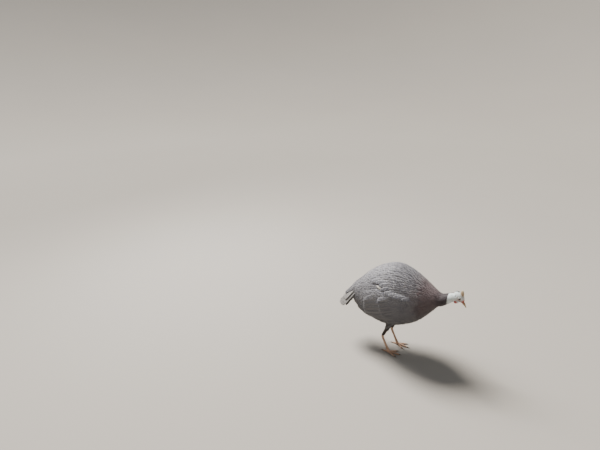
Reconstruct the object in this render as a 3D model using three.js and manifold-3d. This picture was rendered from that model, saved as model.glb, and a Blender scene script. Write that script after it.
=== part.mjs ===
// A life-size guinea fowl, standing with its back arched and its head lowered to peck.
// Millimetres, +Z up. The bird faces -Y and its left side is +X. The floor is Z = 0.
// Every form is placed by side (X), along (forward, -Y) and up (Z).
import * as THREE from "three";
import { mergeVertices } from "three/addons/utils/BufferGeometryUtils.js";
import Module from "manifold-3d";

const wasm = await Module();
wasm.setup();

// Clearances
const GAP = 0.4;
const MERGE = 1e-3;
const BLOCK = 600;
const TINY = 1e-6;
const POLE = 0.9999;

// Trunk: where it ends, and rows of along, top, bottom and half width
const TRUNK = {
  rear: { along: -205, up: 214 },
  front: { along: 178, up: 270 },
  rows: [
    [-190, 256, 168, 38],
    [-165, 289, 147, 53],
    [-125, 328, 130, 73],
    [-75, 359, 118, 90],
    [-25, 370, 120, 97],
    [25, 351, 141, 95],
    [65, 327, 166, 84],
    [95, 307, 197, 65],
    [115, 296, 222, 46],
    [132, 289, 243, 31],
    [150, 286, 254, 24],
  ],
};
const NECK_CUT = 140;
const NECK_CUT_UP = 268;

// Neck: the line of its middle, its half width and half height at even steps, and where it turns bare
const NECK_LINE = [
  [0, NECK_CUT - 12, 262],
  [0, NECK_CUT, NECK_CUT_UP],
  [-2, 156, 278],
  [-5, 171, 289],
  [-8, 185, 297],
  [-10, 197, 301],
];
const NECK_WIDE = [29, 27, 21, 17, 14.5, 13];
const NECK_HIGH = [22, 20, 18, 16.5, 15, 14];
const BARE_FROM = [-2, 157, 279];

// Head: its place, how far it turns to its right and how far the bill points down
const HEAD_AT = [-10, 200, 303];
const HEAD_TURN = THREE.MathUtils.degToRad(24);
const HEAD_DOWN = THREE.MathUtils.degToRad(32);
const HEAD = {
  rear: { along: -22, up: 0 },
  front: { along: 24, up: -2 },
  rows: [
    [-17, 10, -10, 9.5],
    [-9, 14.4, -14.4, 12.4],
    [0, 16, -15.6, 13.4],
    [8, 14.4, -14, 12.2],
    [15, 10.4, -11.4, 9.6],
    [20, 6.6, -8.6, 6.6],
  ],
};
const EYE = { along: 7, side: 9.8, up: 3, radius: 4.9 };
const LID = { tube: 1.1, out: 1.2, long: 1.08, high: 0.86 };
const EAR = { along: -7.5, side: 13.2, up: -2, radius: 1.9 };
const BILL = {
  root: 15,
  upper: 43,
  lower: 38,
  wide: 6.6,
  upperDeep: 7,
  lowerDeep: 4.34,
  split: -4,
  hook: 5.2,
  hookPower: 2.6,
  taperPower: 0.62,
};
const NOSTRIL = { along: 24, side: 4.6, up: -0.6, radius: 1.3 };
const CASQUE = { along: 1, base: 10.5, high: 20, long: 9.5, wide: 4.6, sweep: 8, taper: 0.35 };
const WATTLE = {
  along: 8,
  side: 8.6,
  up: -14.5,
  long: 10,
  wide: 7.2,
  thick: 1.7,
  bulge: 0.25,
  cup: 1.6,
  back: 3.5,
  splay: 5.5,
};

// Wing pad, pressed on the flank, and the tiers of vanes that it carries, lowest vane first
const PAD = {
  along: -40,
  up: 226,
  long: 118,
  high: 66,
  pitch: 6,
  deeperAhead: 0.12,
  thickBehind: 3.12,
  thickAhead: 13,
  sunk: 4,
};
const VANE = { rootDepth: 0.6, rise: 0.35, bend: 0.16, rootWidth: 0.45, full: 0.3, tip: 0.72, tipWidth: 0.14 };
const VANE_LAST_STEP = 0.93;
const LENGTH_PLAY = 0.03;
const WING_TIERS = [
  {
    name: "primaries",
    count: 4,
    root: { from: [20, 182], to: [2, 196] },
    long: [166, 176],
    half: 9,
    slope: [1, 3],
    offset: 3.4,
    lean: 1.1,
    thick: 0.9,
    steps: 5,
  },
  {
    name: "secondaries",
    count: 8,
    root: { from: [18, 204], to: [-44, 276] },
    long: [148, 104],
    half: 10.5,
    slope: [6, 24],
    offset: 6,
    lean: 1.1,
    thick: 0.9,
    steps: 4,
  },
  {
    name: "greater coverts",
    count: 8,
    root: { from: [52, 190], to: [-8, 276] },
    long: [84, 70],
    half: 10.5,
    slope: [4, 20],
    offset: 9.6,
    lean: 0.9,
    thick: 0.9,
    steps: 3,
  },
];

// Tail: where its feathers root, how steeply it hangs, how its sides bend down, and its tiers
const TAIL = {
  along: -140,
  up: 318,
  hang: THREE.MathUtils.degToRad(52),
  droop: 0.0052,
  core: { at: 96, long: 53, wide: 36, high: 13, level: -7 },
  thick: 0.8,
  gap: 1.15,
  spread: 3,
};
const TAIL_TIERS = [
  { name: "upper coverts", pairs: 3, from: 70, fan: 13, long: [92, 80], half: 12.5, level: 4, steps: 3 },
  { name: "tail feathers", pairs: 5, from: 62, fan: 13, long: [142, 122], half: 12.5, level: -3.2, steps: 4 },
  { name: "lower coverts", pairs: 2, from: 84, fan: 11, long: [76, 68], half: 12.5, level: -15, steps: 3 },
];

// Legs: one on each side, the left a little ahead of the right
const LEGS = [
  { name: "right", side: -1, ahead: 0, toeOut: 6 },
  { name: "left", side: 1, ahead: 11, toeOut: 4 },
];
const LEG = {
  stance: 35,
  hip: [-30, 172],
  knee: [-38, 122],
  hock: [-60, 66],
  joint: [-33, 8],
  thighHalf: [25, 21, 14, 8.5, 6.4, 6],
  shankHalf: [6.6, 5, 4.3, 4.1, 4.5, 5.4],
};
const SHANK_TOP = 70;
const BALL = { radius: 7, flat: 0.9, up: 6 };
const TOES = [
  { name: "inner", angle: 30, long: 33, half: 3.7 },
  { name: "middle", angle: 0, long: 43, half: 4.0 },
  { name: "outer", angle: -30, long: 35, half: 3.7 },
  { name: "hind", angle: 172, long: 17, half: 3.2 },
];
const CLAW = { long: 11, half: 2.3, drop: 1.32, taper: 0.85 };
const TOE_TAPER = 0.3;
const TOE_ROOT = 6;
const FLAT = 0.8;

// Finishes
const FINISH = {
  plumage: { color: 0x5d5e68, roughness: 0.85 },
  wing: { color: 0x54555f, roughness: 0.8 },
  neck: { color: 0x5b4f52, roughness: 0.85 },
  face: { color: 0xdfe4e0, roughness: 0.6 },
  horn: { color: 0xcdbd9a, roughness: 0.5 },
  bill: { color: 0xb59a6a, roughness: 0.45 },
  wattle: { color: 0xb5392f, roughness: 0.5 },
  eye: { color: 0x1c120c, roughness: 0.08 },
  leg: { color: 0xa98468, roughness: 0.6 },
};

/** A point from its side, along and up distances. */
function at(side, along, up) {
  return new THREE.Vector3(side, -along, up);
}

/** A closed geometry as a solid, turned the right way out. */
function toSolid(geometry) {
  const bare = geometry.index ? geometry.toNonIndexed() : geometry.clone();
  bare.deleteAttribute("normal");
  bare.deleteAttribute("uv");
  const merged = mergeVertices(bare, MERGE);
  const triVerts = new Uint32Array(merged.index.array);
  const vertProperties = merged.attributes.position.array;
  const made = new wasm.Manifold(new wasm.Mesh({ numProp: 3, vertProperties, triVerts }));
  if (made.volume() > 0) return made;
  for (let i = 0; i < triVerts.length; i += 3) {
    [triVerts[i + 1], triVerts[i + 2]] = [triVerts[i + 2], triVerts[i + 1]];
  }
  return new wasm.Manifold(new wasm.Mesh({ numProp: 3, vertProperties, triVerts }));
}

/** The largest closed body of a solid, as a geometry. */
function toGeometry(solid) {
  const bodies = solid.decompose().sort((a, b) => b.volume() - a.volume());
  const mesh = bodies[0].getMesh();
  const geometry = new THREE.BufferGeometry();
  geometry.setAttribute("position", new THREE.BufferAttribute(mesh.vertProperties, mesh.numProp));
  geometry.setIndex(new THREE.BufferAttribute(mesh.triVerts, 1));
  return geometry;
}

/** Several closed geometries joined into one solid. */
function fuse(geometries) {
  return geometries.map(toSolid).reduce((whole, piece) => whole.add(piece));
}

/** Moves each point of a geometry by a function of that point. */
function reshape(geometry, move) {
  const place = geometry.attributes.position;
  const point = new THREE.Vector3();
  for (let i = 0; i < place.count; i++) {
    point.fromBufferAttribute(place, i);
    const moved = move(point);
    place.setXYZ(i, moved.x, moved.y, moved.z);
  }
  return geometry;
}

/** A big block on the far side of a plane, for cutting. */
function cutter(point, normal) {
  const block = new THREE.BoxGeometry(BLOCK, BLOCK, BLOCK).translate(0, 0, BLOCK / 2);
  const turn = new THREE.Quaternion().setFromUnitVectors(at(0, 0, 1), normal.clone().normalize());
  return toSolid(block.applyQuaternion(turn).translate(point.x, point.y, point.z));
}

/** A rounded form given by rows of along, top, bottom and half width between two poles. */
class EggForm {
  constructor({ rear, front, rows }) {
    this.middle = (rear.along + front.along) / 2;
    this.half = (front.along - rear.along) / 2;
    const turns = rows.map((row) => this.turnAt(row[0]));
    const shares = rows.map(([, top, bottom, wide], i) => {
      const sine = Math.sin(turns[i]);
      return [(top + bottom) / 2, (top - bottom) / 2 / sine, wide / sine];
    });
    const first = [rear.up, ...shares[0].slice(1)];
    const last = [front.up, ...shares[shares.length - 1].slice(1)];
    const values = [first, ...shares, last].flat();
    this.curve = new THREE.CubicInterpolant([0, ...turns, Math.PI], values, 3);
  }

  /** The turn from the rear pole, 0 to PI, at a distance along. */
  turnAt(along, grow = 0) {
    const cosine = (this.middle - along) / (this.half + grow);
    return Math.acos(THREE.MathUtils.clamp(cosine, -1, 1));
  }

  /** Middle height, half height and half width at a turn, with the form grown on every side. */
  sectionAt(turn, grow = 0) {
    const [centre, high, wide] = this.curve.evaluate(turn);
    const sine = Math.sin(turn);
    return { centre, high: (high + grow) * sine, wide: (wide + grow) * sine };
  }

  /** How far out the surface is at a distance along and a height. */
  sideAt(along, up, grow = 0) {
    const { centre, high, wide } = this.sectionAt(this.turnAt(along, grow), grow);
    const share = high > 0 ? THREE.MathUtils.clamp((up - centre) / high, -1, 1) : 1;
    return wide * Math.sqrt(1 - share * share);
  }

  /** The closed form, from a sphere whose rings are laid on the sections. */
  geometry(around, lengthwise, grow = 0) {
    const sphere = new THREE.SphereGeometry(1, around, lengthwise);
    return reshape(sphere, (p) => {
      const turn = Math.acos(THREE.MathUtils.clamp(p.y, -1, 1));
      const { centre, high, wide } = this.sectionAt(turn, grow);
      const ring = Math.hypot(p.x, p.z) || 1;
      const along = this.middle - (this.half + grow) * Math.cos(turn);
      return at((wide * p.x) / ring, along, centre + (high * p.z) / ring);
    });
  }
}

/** A rounded tube along a line, with half widths and half heights at even steps. */
function limb(line, wides, highs, around, lengthwise) {
  const path = new THREE.CatmullRomCurve3(line.map((p) => at(...p)));
  const steps = wides.map((_, i) => i / (wides.length - 1));
  const halves = new THREE.CubicInterpolant(steps, wides.flatMap((wide, i) => [wide, highs[i]]), 2);
  const tube = new THREE.CylinderGeometry(1, 1, 1, around, lengthwise);
  return reshape(tube, (p) => {
    const share = THREE.MathUtils.clamp(0.5 - p.y, 0, 1);
    const [wide, high] = halves.evaluate(share);
    const ahead = path.getTangentAt(share);
    const side = new THREE.Vector3(1, 0, 0).addScaledVector(ahead, -ahead.x).normalize();
    const up = new THREE.Vector3().crossVectors(side, ahead);
    return path.getPointAt(share).addScaledVector(side, p.x * wide).addScaledVector(up, p.z * high);
  });
}

/** Half width of a feather vane, as a share of its widest, at a share of its length. */
function vaneShape(share) {
  const root = THREE.MathUtils.lerp(VANE.rootWidth, 1, Math.min(1, share / VANE.full));
  const tip = Math.max(0, (share - VANE.tip) / (1 - VANE.tip));
  return root * Math.sqrt(1 - (1 - VANE.tipWidth) * tip * tip);
}

/** A closed thin vane: place(share, across, face) puts each corner, and both faces split alike. */
function vane(steps, place) {
  const shares = [...Array(steps).keys()].map((i) => i / steps);
  shares.push(VANE_LAST_STEP, 1);
  shares.sort((a, b) => a - b);
  const corners = [];
  const faces = [];
  for (const share of shares) {
    for (const [across, face] of [[-1, 1], [1, 1], [1, -1], [-1, -1]]) {
      corners.push(...place(share, across * vaneShape(share), face).toArray());
    }
  }
  const quad = (a, b, c, d) => faces.push(a, b, c, a, c, d);
  for (let i = 0; i + 1 < shares.length; i++) {
    const [a, b, c, d] = [0, 1, 2, 3].map((corner) => 4 * i + corner);
    quad(a, b, b + 4, a + 4);
    faces.push(d, c + 4, c, d, d + 4, c + 4);
    quad(b, c, c + 4, b + 4);
    quad(d, a, a + 4, d + 4);
  }
  const end = 4 * (shares.length - 1);
  quad(3, 2, 1, 0);
  quad(end, end + 1, end + 2, end + 3);
  const geometry = new THREE.BufferGeometry();
  geometry.setAttribute("position", new THREE.Float32BufferAttribute(corners, 3));
  geometry.setIndex(faces);
  return geometry;
}

const trunk = new EggForm(TRUNK);
const TRUNK_AROUND = 30;
const TRUNK_LENGTHWISE = 22;
const trunkGrown = toSolid(trunk.geometry(TRUNK_AROUND, TRUNK_LENGTHWISE, GAP));
const neckPlane = at(0, NECK_CUT, NECK_CUT_UP);

/** The trunk, cut flat where the neck meets it. */
function makeTrunk() {
  const whole = toSolid(trunk.geometry(TRUNK_AROUND, TRUNK_LENGTHWISE));
  return whole.subtract(cutter(neckPlane, at(0, 1, 0)));
}

/** One wing: a pad pressed on the flank, with the vanes of every tier rooted in it. */
function makeWing(sideSign) {
  const pitch = THREE.MathUtils.degToRad(PAD.pitch);
  const pad = reshape(new THREE.SphereGeometry(1, 28, 14), (p) => {
    const [forward, upward] = [p.x * PAD.long, p.y * PAD.high * (1 + PAD.deeperAhead * p.x)];
    const along = PAD.along + forward * Math.cos(pitch) - upward * Math.sin(pitch);
    const up = PAD.up + upward * Math.cos(pitch) + forward * Math.sin(pitch);
    const thick = THREE.MathUtils.lerp(PAD.thickBehind, PAD.thickAhead, (1 + p.x) / 2);
    const depth = p.z * (p.z > 0 ? thick : PAD.sunk);
    return at(sideSign * trunk.sideAt(along, up, depth), along, up);
  });
  const vanes = WING_TIERS.flatMap((tier) => wingTier(tier, sideSign));
  return fuse([pad, ...vanes]).subtract(trunkGrown);
}

/** The vanes of one tier, wrapped round the flank, each one lapping over the next below. */
function wingTier(tier, sideSign) {
  return [...Array(tier.count).keys()].map((i) => {
    const share = i / (tier.count - 1);
    const pick = (pair) => THREE.MathUtils.lerp(pair[0], pair[1], share);
    const rootAlong = pick([tier.root.from[0], tier.root.to[0]]);
    const rootUp = pick([tier.root.from[1], tier.root.to[1]]);
    const long = pick(tier.long) * (1 + LENGTH_PLAY * Math.sin(5 * i));
    const slope = THREE.MathUtils.degToRad(pick(tier.slope));
    return vane(tier.steps, (along, across, face) => {
      const bend = slope + VANE.bend * along;
      const back = rootAlong - long * along * Math.cos(bend) - across * tier.half * Math.sin(bend);
      const up = rootUp - long * along * Math.sin(bend) + across * tier.half * Math.cos(bend);
      const rise = Math.min(1, along / VANE.rise);
      const middle = THREE.MathUtils.lerp(VANE.rootDepth, tier.offset, rise);
      const depth = middle - tier.lean * across + (face * tier.thick) / 2;
      return at(sideSign * trunk.sideAt(back, up, depth), back, up);
    });
  });
}

/** The tail: a core at its root and its tiers of vanes, laid like a low roof. */
function makeTail() {
  const { core } = TAIL;
  const place = (side, back, level) => {
    const rise = level - TAIL.droop * side * side;
    const along = TAIL.along - back * Math.cos(TAIL.hang) - rise * Math.sin(TAIL.hang);
    const up = TAIL.up - back * Math.sin(TAIL.hang) + rise * Math.cos(TAIL.hang);
    return at(side, along, up);
  };
  const root = reshape(new THREE.SphereGeometry(1, 20, 12), (p) =>
    place(p.x * core.wide, core.at + p.y * core.long, core.level + p.z * core.high));
  const vanes = TAIL_TIERS.flatMap((tier) => tailTier(tier, place));
  return fuse([root, ...vanes]).subtract(trunkGrown);
}

/** The vanes of one tail tier, the middle pair highest and each one outside it lower. */
function tailTier(tier, place) {
  const vanes = [];
  for (let pair = 0; pair < tier.pairs; pair++) {
    for (const sideSign of [-1, 1]) {
      const share = (pair + 0.5) / tier.pairs;
      const fan = THREE.MathUtils.degToRad(tier.fan * share) * sideSign;
      const long = THREE.MathUtils.lerp(...tier.long, share * share);
      const level = tier.level - TAIL.gap * (2 * pair + (sideSign > 0 ? 1 : 0));
      vanes.push(vane(tier.steps, (along, across, face) => {
        const spread = sideSign * TAIL.spread * (pair + 0.5);
        const side = spread + long * along * Math.sin(fan) + across * tier.half * Math.cos(fan);
        const back = tier.from + long * along * Math.cos(fan) - across * tier.half * Math.sin(fan);
        return place(side, back, level + (face * TAIL.thick) / 2);
      }));
    }
  }
  return vanes;
}

/** Each size of a list, made larger. */
function grown(sizes, grow) {
  return sizes.map((size) => size + grow);
}

/** The neck, cut flat where it meets the trunk and cleared of the head. */
function makeNeck(headGrown, grow = 0) {
  const neck = toSolid(limb(NECK_LINE, grown(NECK_WIDE, grow), grown(NECK_HIGH, grow), 20, 10));
  const start = at(0, NECK_CUT + GAP, NECK_CUT_UP);
  return neck.subtract(cutter(start, at(0, -1, 0))).subtract(headGrown);
}

/** The head's own frame: forward is along the bill. */
const headFrame = new THREE.Matrix4().compose(
  at(...HEAD_AT),
  new THREE.Quaternion()
    .setFromAxisAngle(new THREE.Vector3(0, 0, 1), -HEAD_TURN)
    .multiply(new THREE.Quaternion().setFromAxisAngle(new THREE.Vector3(1, 0, 0), HEAD_DOWN)),
  new THREE.Vector3(1, 1, 1),
);
const headForm = new EggForm(HEAD);
const HEAD_AROUND = 22;
const HEAD_LENGTHWISE = 14;

/** A geometry made in the head's frame, as a solid in place. */
function onHead(geometry) {
  return toSolid(geometry.applyMatrix4(headFrame));
}

/** A ball in the head's frame. */
function headBall({ side, along, up, radius }, sideSign, around = 16) {
  const ball = new THREE.SphereGeometry(radius, around, around / 2);
  const place = at(side * sideSign, along, up);
  return ball.translate(place.x, place.y, place.z);
}

/** The head with its lids, ear openings and eye sockets. */
function makeHead() {
  let head = onHead(headForm.geometry(HEAD_AROUND, HEAD_LENGTHWISE));
  for (const sideSign of [-1, 1]) {
    const lid = new THREE.TorusGeometry(EYE.radius, LID.tube, 6, 16).rotateY(Math.PI / 2);
    const place = at((EYE.side + LID.out) * sideSign, EYE.along, EYE.up);
    head = head.add(onHead(lid.scale(1, LID.long, LID.high).translate(place.x, place.y, place.z)));
  }
  for (const sideSign of [-1, 1]) {
    head = head.subtract(onHead(headBall({ ...EYE, radius: EYE.radius + GAP }, sideSign)));
    head = head.subtract(onHead(headBall(EAR, sideSign, 10)));
  }
  return head;
}

/** One half of the bill: a hooked upper half or a straight lower half. */
function makeBill(isUpper, headGrown) {
  const tip = isUpper ? BILL.upper : BILL.lower;
  const long = tip - BILL.root;
  const bill = reshape(new THREE.SphereGeometry(1, 16, 12), (p) => {
    const share = (1 - p.y) / 2;
    const round = Math.max(Math.sqrt(1 - p.y * p.y), TINY);
    const taper = Math.pow(Math.max(0, 1 - share), BILL.taperPower) / round;
    const full = Math.min(1, 4 * share) * (Math.abs(p.y) > POLE ? 0 : taper);
    const high = isUpper ? BILL.upperDeep : BILL.lowerDeep;
    const rise = isUpper ? Math.max(0, p.z) : Math.min(0, p.z);
    const hook = BILL.hook * Math.pow((long * share) / (BILL.upper - BILL.root), BILL.hookPower);
    const edge = BILL.split + (isUpper ? GAP / 2 : -GAP / 2);
    return at(p.x * BILL.wide * full, BILL.root + long * share, edge + rise * high * full - hook);
  });
  let made = onHead(bill).subtract(headGrown);
  if (!isUpper) return made;
  for (const sideSign of [-1, 1]) made = made.subtract(onHead(headBall(NOSTRIL, sideSign, 8)));
  return made;
}

/** The casque on the crown, swept backwards. */
function makeCasque(headGrown) {
  const cone = new THREE.SphereGeometry(1, 14, 12);
  const casque = reshape(cone, (p) => {
    const share = (p.y + 1) / 2;
    const lean = CASQUE.along - CASQUE.sweep * share * share;
    const taper = 1 - CASQUE.taper * share;
    const up = CASQUE.base + CASQUE.high * share;
    return at(p.x * CASQUE.wide * taper, lean + p.z * CASQUE.long * taper, up);
  });
  return onHead(casque).subtract(headGrown);
}

/** One wattle: a thick flap that hangs from the corner of the mouth. */
function makeWattle(sideSign, taken) {
  const flap = reshape(new THREE.SphereGeometry(1, 14, 10), (p) => {
    const bulge = 1 + WATTLE.bulge * p.y;
    const cup = WATTLE.cup * p.x * p.x;
    const down = (1 - p.y) / 2;
    const along = WATTLE.along + p.x * WATTLE.wide * bulge - WATTLE.back * down;
    const out = WATTLE.side + WATTLE.splay * down + p.z * WATTLE.thick + cup;
    return at(sideSign * out, along, WATTLE.up + WATTLE.long * p.y);
  });
  return taken.reduce((left, other) => left.subtract(other), onHead(flap));
}

/** The line of a leg's named stations, moved ahead by a share of the leg's own step. */
function legLine(leg, stations) {
  return stations.map(([along, up, share]) => [leg.side * LEG.stance, along + leg.ahead * share, up]);
}

/** The feathered upper leg, from the belly down to the hock. */
function makeThigh(leg) {
  const middle = [(LEG.knee[0] + LEG.hock[0]) / 2, (LEG.knee[1] + LEG.hock[1]) / 2];
  const line = legLine(leg, [[...LEG.hip, 0.5], [...LEG.knee, 0.7], [...middle, 0.85], [...LEG.hock, 1]]);
  const thigh = toSolid(limb(line, LEG.thighHalf, LEG.thighHalf, 14, 10));
  return thigh.subtract(cutter(at(0, 0, SHANK_TOP), at(0, 0, -1))).subtract(trunkGrown);
}

/** The bare shank from the hock down to the foot. */
function makeShank(leg, grow = 0) {
  const [hock, joint] = [LEG.hock, LEG.joint];
  const above = [hock[0] + 4, hock[1] + 12, 1];
  const middle = [(hock[0] + joint[0]) / 2 - 1, (hock[1] + joint[1]) / 2, 1];
  const line = legLine(leg, [above, [...hock, 1], middle, [...joint, 1]]);
  const halves = grown(LEG.shankHalf, grow);
  const shank = toSolid(limb(line, halves, halves, 12, 9));
  const top = at(0, 0, SHANK_TOP - GAP);
  return shank.subtract(cutter(top, at(0, 0, 1)));
}

/** The foot: four toes with claws, flat where they rest on the floor. */
function makeFoot(leg, shank) {
  const start = at(leg.side * LEG.stance, LEG.joint[0] + leg.ahead, 0);
  const ball = new THREE.SphereGeometry(BALL.radius, 12, 8).scale(1, 1, BALL.flat);
  const pieces = [ball.translate(start.x, start.y, BALL.up)];
  for (const toe of TOES) {
    const angle = THREE.MathUtils.degToRad(toe.angle * -leg.side - leg.toeOut * leg.side);
    const place = (side, ahead, up) => {
      const x = start.x + side * Math.cos(angle) + ahead * Math.sin(angle);
      const y = start.y - ahead * Math.cos(angle) + side * Math.sin(angle);
      return new THREE.Vector3(x, y, up);
    };
    const whole = toe.long + CLAW.long;
    pieces.push(reshape(new THREE.SphereGeometry(1, 8, 11), (p) => {
      const share = (1 + p.y) / 2;
      const ahead = whole * share;
      const clawShare = Math.max(0, (ahead - toe.long) / CLAW.long);
      const round = Math.max(Math.sqrt(Math.max(0, 1 - p.y * p.y)), TINY);
      const full = Math.abs(p.y) > POLE ? 0 : Math.min(1, Math.sqrt(TOE_ROOT * share)) / round;
      const toeHalf = toe.half * (1 - TOE_TAPER * share);
      const half = clawShare > 0 ? CLAW.half * (1 - CLAW.taper * clawShare) : toeHalf;
      const middle = toeHalf - CLAW.drop * clawShare;
      return place(p.x * full * half, ahead, middle + p.z * full * half);
    }));
  }
  const foot = fuse(pieces);
  const sole = cutter(at(0, 0, FLAT), at(0, 0, -1));
  return foot.subtract(sole).translate([0, 0, -FLAT]).subtract(shank);
}

const root = new THREE.Group();

/** Adds one named node to the model. */
function addNode(name, solid, finish) {
  const { color, roughness } = FINISH[finish];
  const material = new THREE.MeshStandardMaterial({ color, roughness, metalness: 0 });
  const mesh = new THREE.Mesh(toGeometry(solid), material);
  mesh.name = name;
  root.add(mesh);
}

const headGrown = onHead(headForm.geometry(HEAD_AROUND, HEAD_LENGTHWISE, GAP));
addNode("torso", makeTrunk(), "plumage");
addNode("wing_right", makeWing(-1), "wing");
addNode("wing_left", makeWing(1), "wing");
addNode("tail", makeTail(), "wing");

const neck = makeNeck(headGrown);
const neckGrown = makeNeck(headGrown, GAP);
const bareLine = at(...BARE_FROM);
const neckAhead = at(0, 1, 0.62).normalize();
addNode("neck_lower", neck.subtract(cutter(bareLine, neckAhead)), "neck");
const bareStart = bareLine.clone().addScaledVector(neckAhead, GAP);
addNode("neck_upper", neck.subtract(cutter(bareStart, neckAhead.clone().negate())), "face");

addNode("head", makeHead(), "face");
addNode("casque", makeCasque(headGrown), "horn");
const upperBill = makeBill(true, headGrown);
const lowerBill = makeBill(false, headGrown);
addNode("bill_upper", upperBill, "bill");
addNode("bill_lower", lowerBill, "bill");
for (const sideSign of [-1, 1]) {
  const name = sideSign > 0 ? "left" : "right";
  addNode(`eye_${name}`, onHead(headBall(EYE, sideSign)), "eye");
  addNode(`wattle_${name}`, makeWattle(sideSign, [headGrown, neckGrown, upperBill, lowerBill]), "wattle");
}

for (const leg of LEGS) {
  addNode(`thigh_${leg.name}`, makeThigh(leg), "plumage");
  addNode(`shank_${leg.name}`, makeShank(leg), "leg");
  addNode(`foot_${leg.name}`, makeFoot(leg, makeShank(leg, GAP)), "leg");
}

const bounds = new THREE.Box3().setFromObject(root);
const middle = bounds.getCenter(new THREE.Vector3());
for (const node of root.children) node.geometry.translate(-middle.x, -middle.y, 0);

export default root;
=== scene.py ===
"""The looks of a life-size guinea fowl that stands with its back arched and its neck stretched.

Metres, +Z up. The bird faces -Y and its left side is +X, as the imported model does.
"""
import logging
import math
from dataclasses import dataclass, field
from enum import Enum
from typing import Any, Callable, Iterable, Sequence

import bmesh
import bpy
import numpy as np
from mathutils import Matrix, Vector
from mathutils.bvhtree import BVHTree


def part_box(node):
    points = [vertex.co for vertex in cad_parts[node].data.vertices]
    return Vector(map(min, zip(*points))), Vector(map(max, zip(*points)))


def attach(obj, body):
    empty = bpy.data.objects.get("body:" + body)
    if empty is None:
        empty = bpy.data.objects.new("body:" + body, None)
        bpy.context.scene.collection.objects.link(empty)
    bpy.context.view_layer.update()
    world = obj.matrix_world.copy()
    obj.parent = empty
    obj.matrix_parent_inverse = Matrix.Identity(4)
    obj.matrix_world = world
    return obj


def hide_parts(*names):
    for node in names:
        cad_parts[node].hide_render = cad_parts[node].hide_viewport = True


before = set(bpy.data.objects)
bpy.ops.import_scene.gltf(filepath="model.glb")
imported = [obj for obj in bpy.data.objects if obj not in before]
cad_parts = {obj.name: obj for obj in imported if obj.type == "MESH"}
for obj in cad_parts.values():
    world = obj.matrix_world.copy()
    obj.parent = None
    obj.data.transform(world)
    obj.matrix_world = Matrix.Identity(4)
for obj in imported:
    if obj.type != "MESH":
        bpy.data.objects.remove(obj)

LOG = logging.getLogger("guinea_fowl")
MM = 0.001
BODY = "root"
SEED = 41
PATCH = 0.003
HORN_VOXEL = 0.5 * MM
TRUNK_FRONT = 140.0
FORE = -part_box("torso")[0][1] / MM - TRUNK_FRONT
BILL_DROP = math.radians(-12)
Array = np.ndarray


class Side(Enum):
    """The bird's two sides, with the sign of their X."""

    RIGHT = -1
    LEFT = 1

    @property
    def label(self) -> str:
        """The side's name as the nodes spell it."""
        return self.name.lower()


class Wire:
    """A shader socket that adds its Math node when it stands in an expression."""

    def __init__(self, bench: "Bench", socket: Any) -> None:
        """Keeps the socket and the bench that it belongs to."""
        self.bench = bench
        self.socket = socket

    def _math(self, operation: str, first: Any, second: Any = 0.0) -> "Wire":
        """One Math node of two values."""
        return self.bench.node("ShaderNodeMath", {"operation": operation}, {0: first, 1: second})

    def __add__(self, other: Any) -> "Wire":
        """The sum."""
        return self._math("ADD", self, other)

    __radd__ = __add__

    def __sub__(self, other: Any) -> "Wire":
        """This less the other."""
        return self._math("SUBTRACT", self, other)

    def __rsub__(self, other: Any) -> "Wire":
        """The other less this."""
        return self._math("SUBTRACT", other, self)

    def __mul__(self, other: Any) -> "Wire":
        """The product."""
        return self._math("MULTIPLY", self, other)

    __rmul__ = __mul__

    def __truediv__(self, other: Any) -> "Wire":
        """This over the other."""
        return self._math("DIVIDE", self, other)

    def __mod__(self, other: Any) -> "Wire":
        """What is left over from this in whole steps of the other."""
        return self._math("FLOORED_MODULO", self, other)

    def apply(self, operation: str, other: Any = 0.0) -> "Wire":
        """Any other Math operation on this socket."""
        return self._math(operation, self, other)

    def smooth(self, low: float, high: float) -> "Wire":
        """A soft step from 0 at low to 1 at high."""
        settings = {"interpolation_type": "SMOOTHSTEP"}
        inputs = {"Value": self, "From Min": low, "From Max": high}
        return self.bench.node("ShaderNodeMapRange", settings, inputs)


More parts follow.
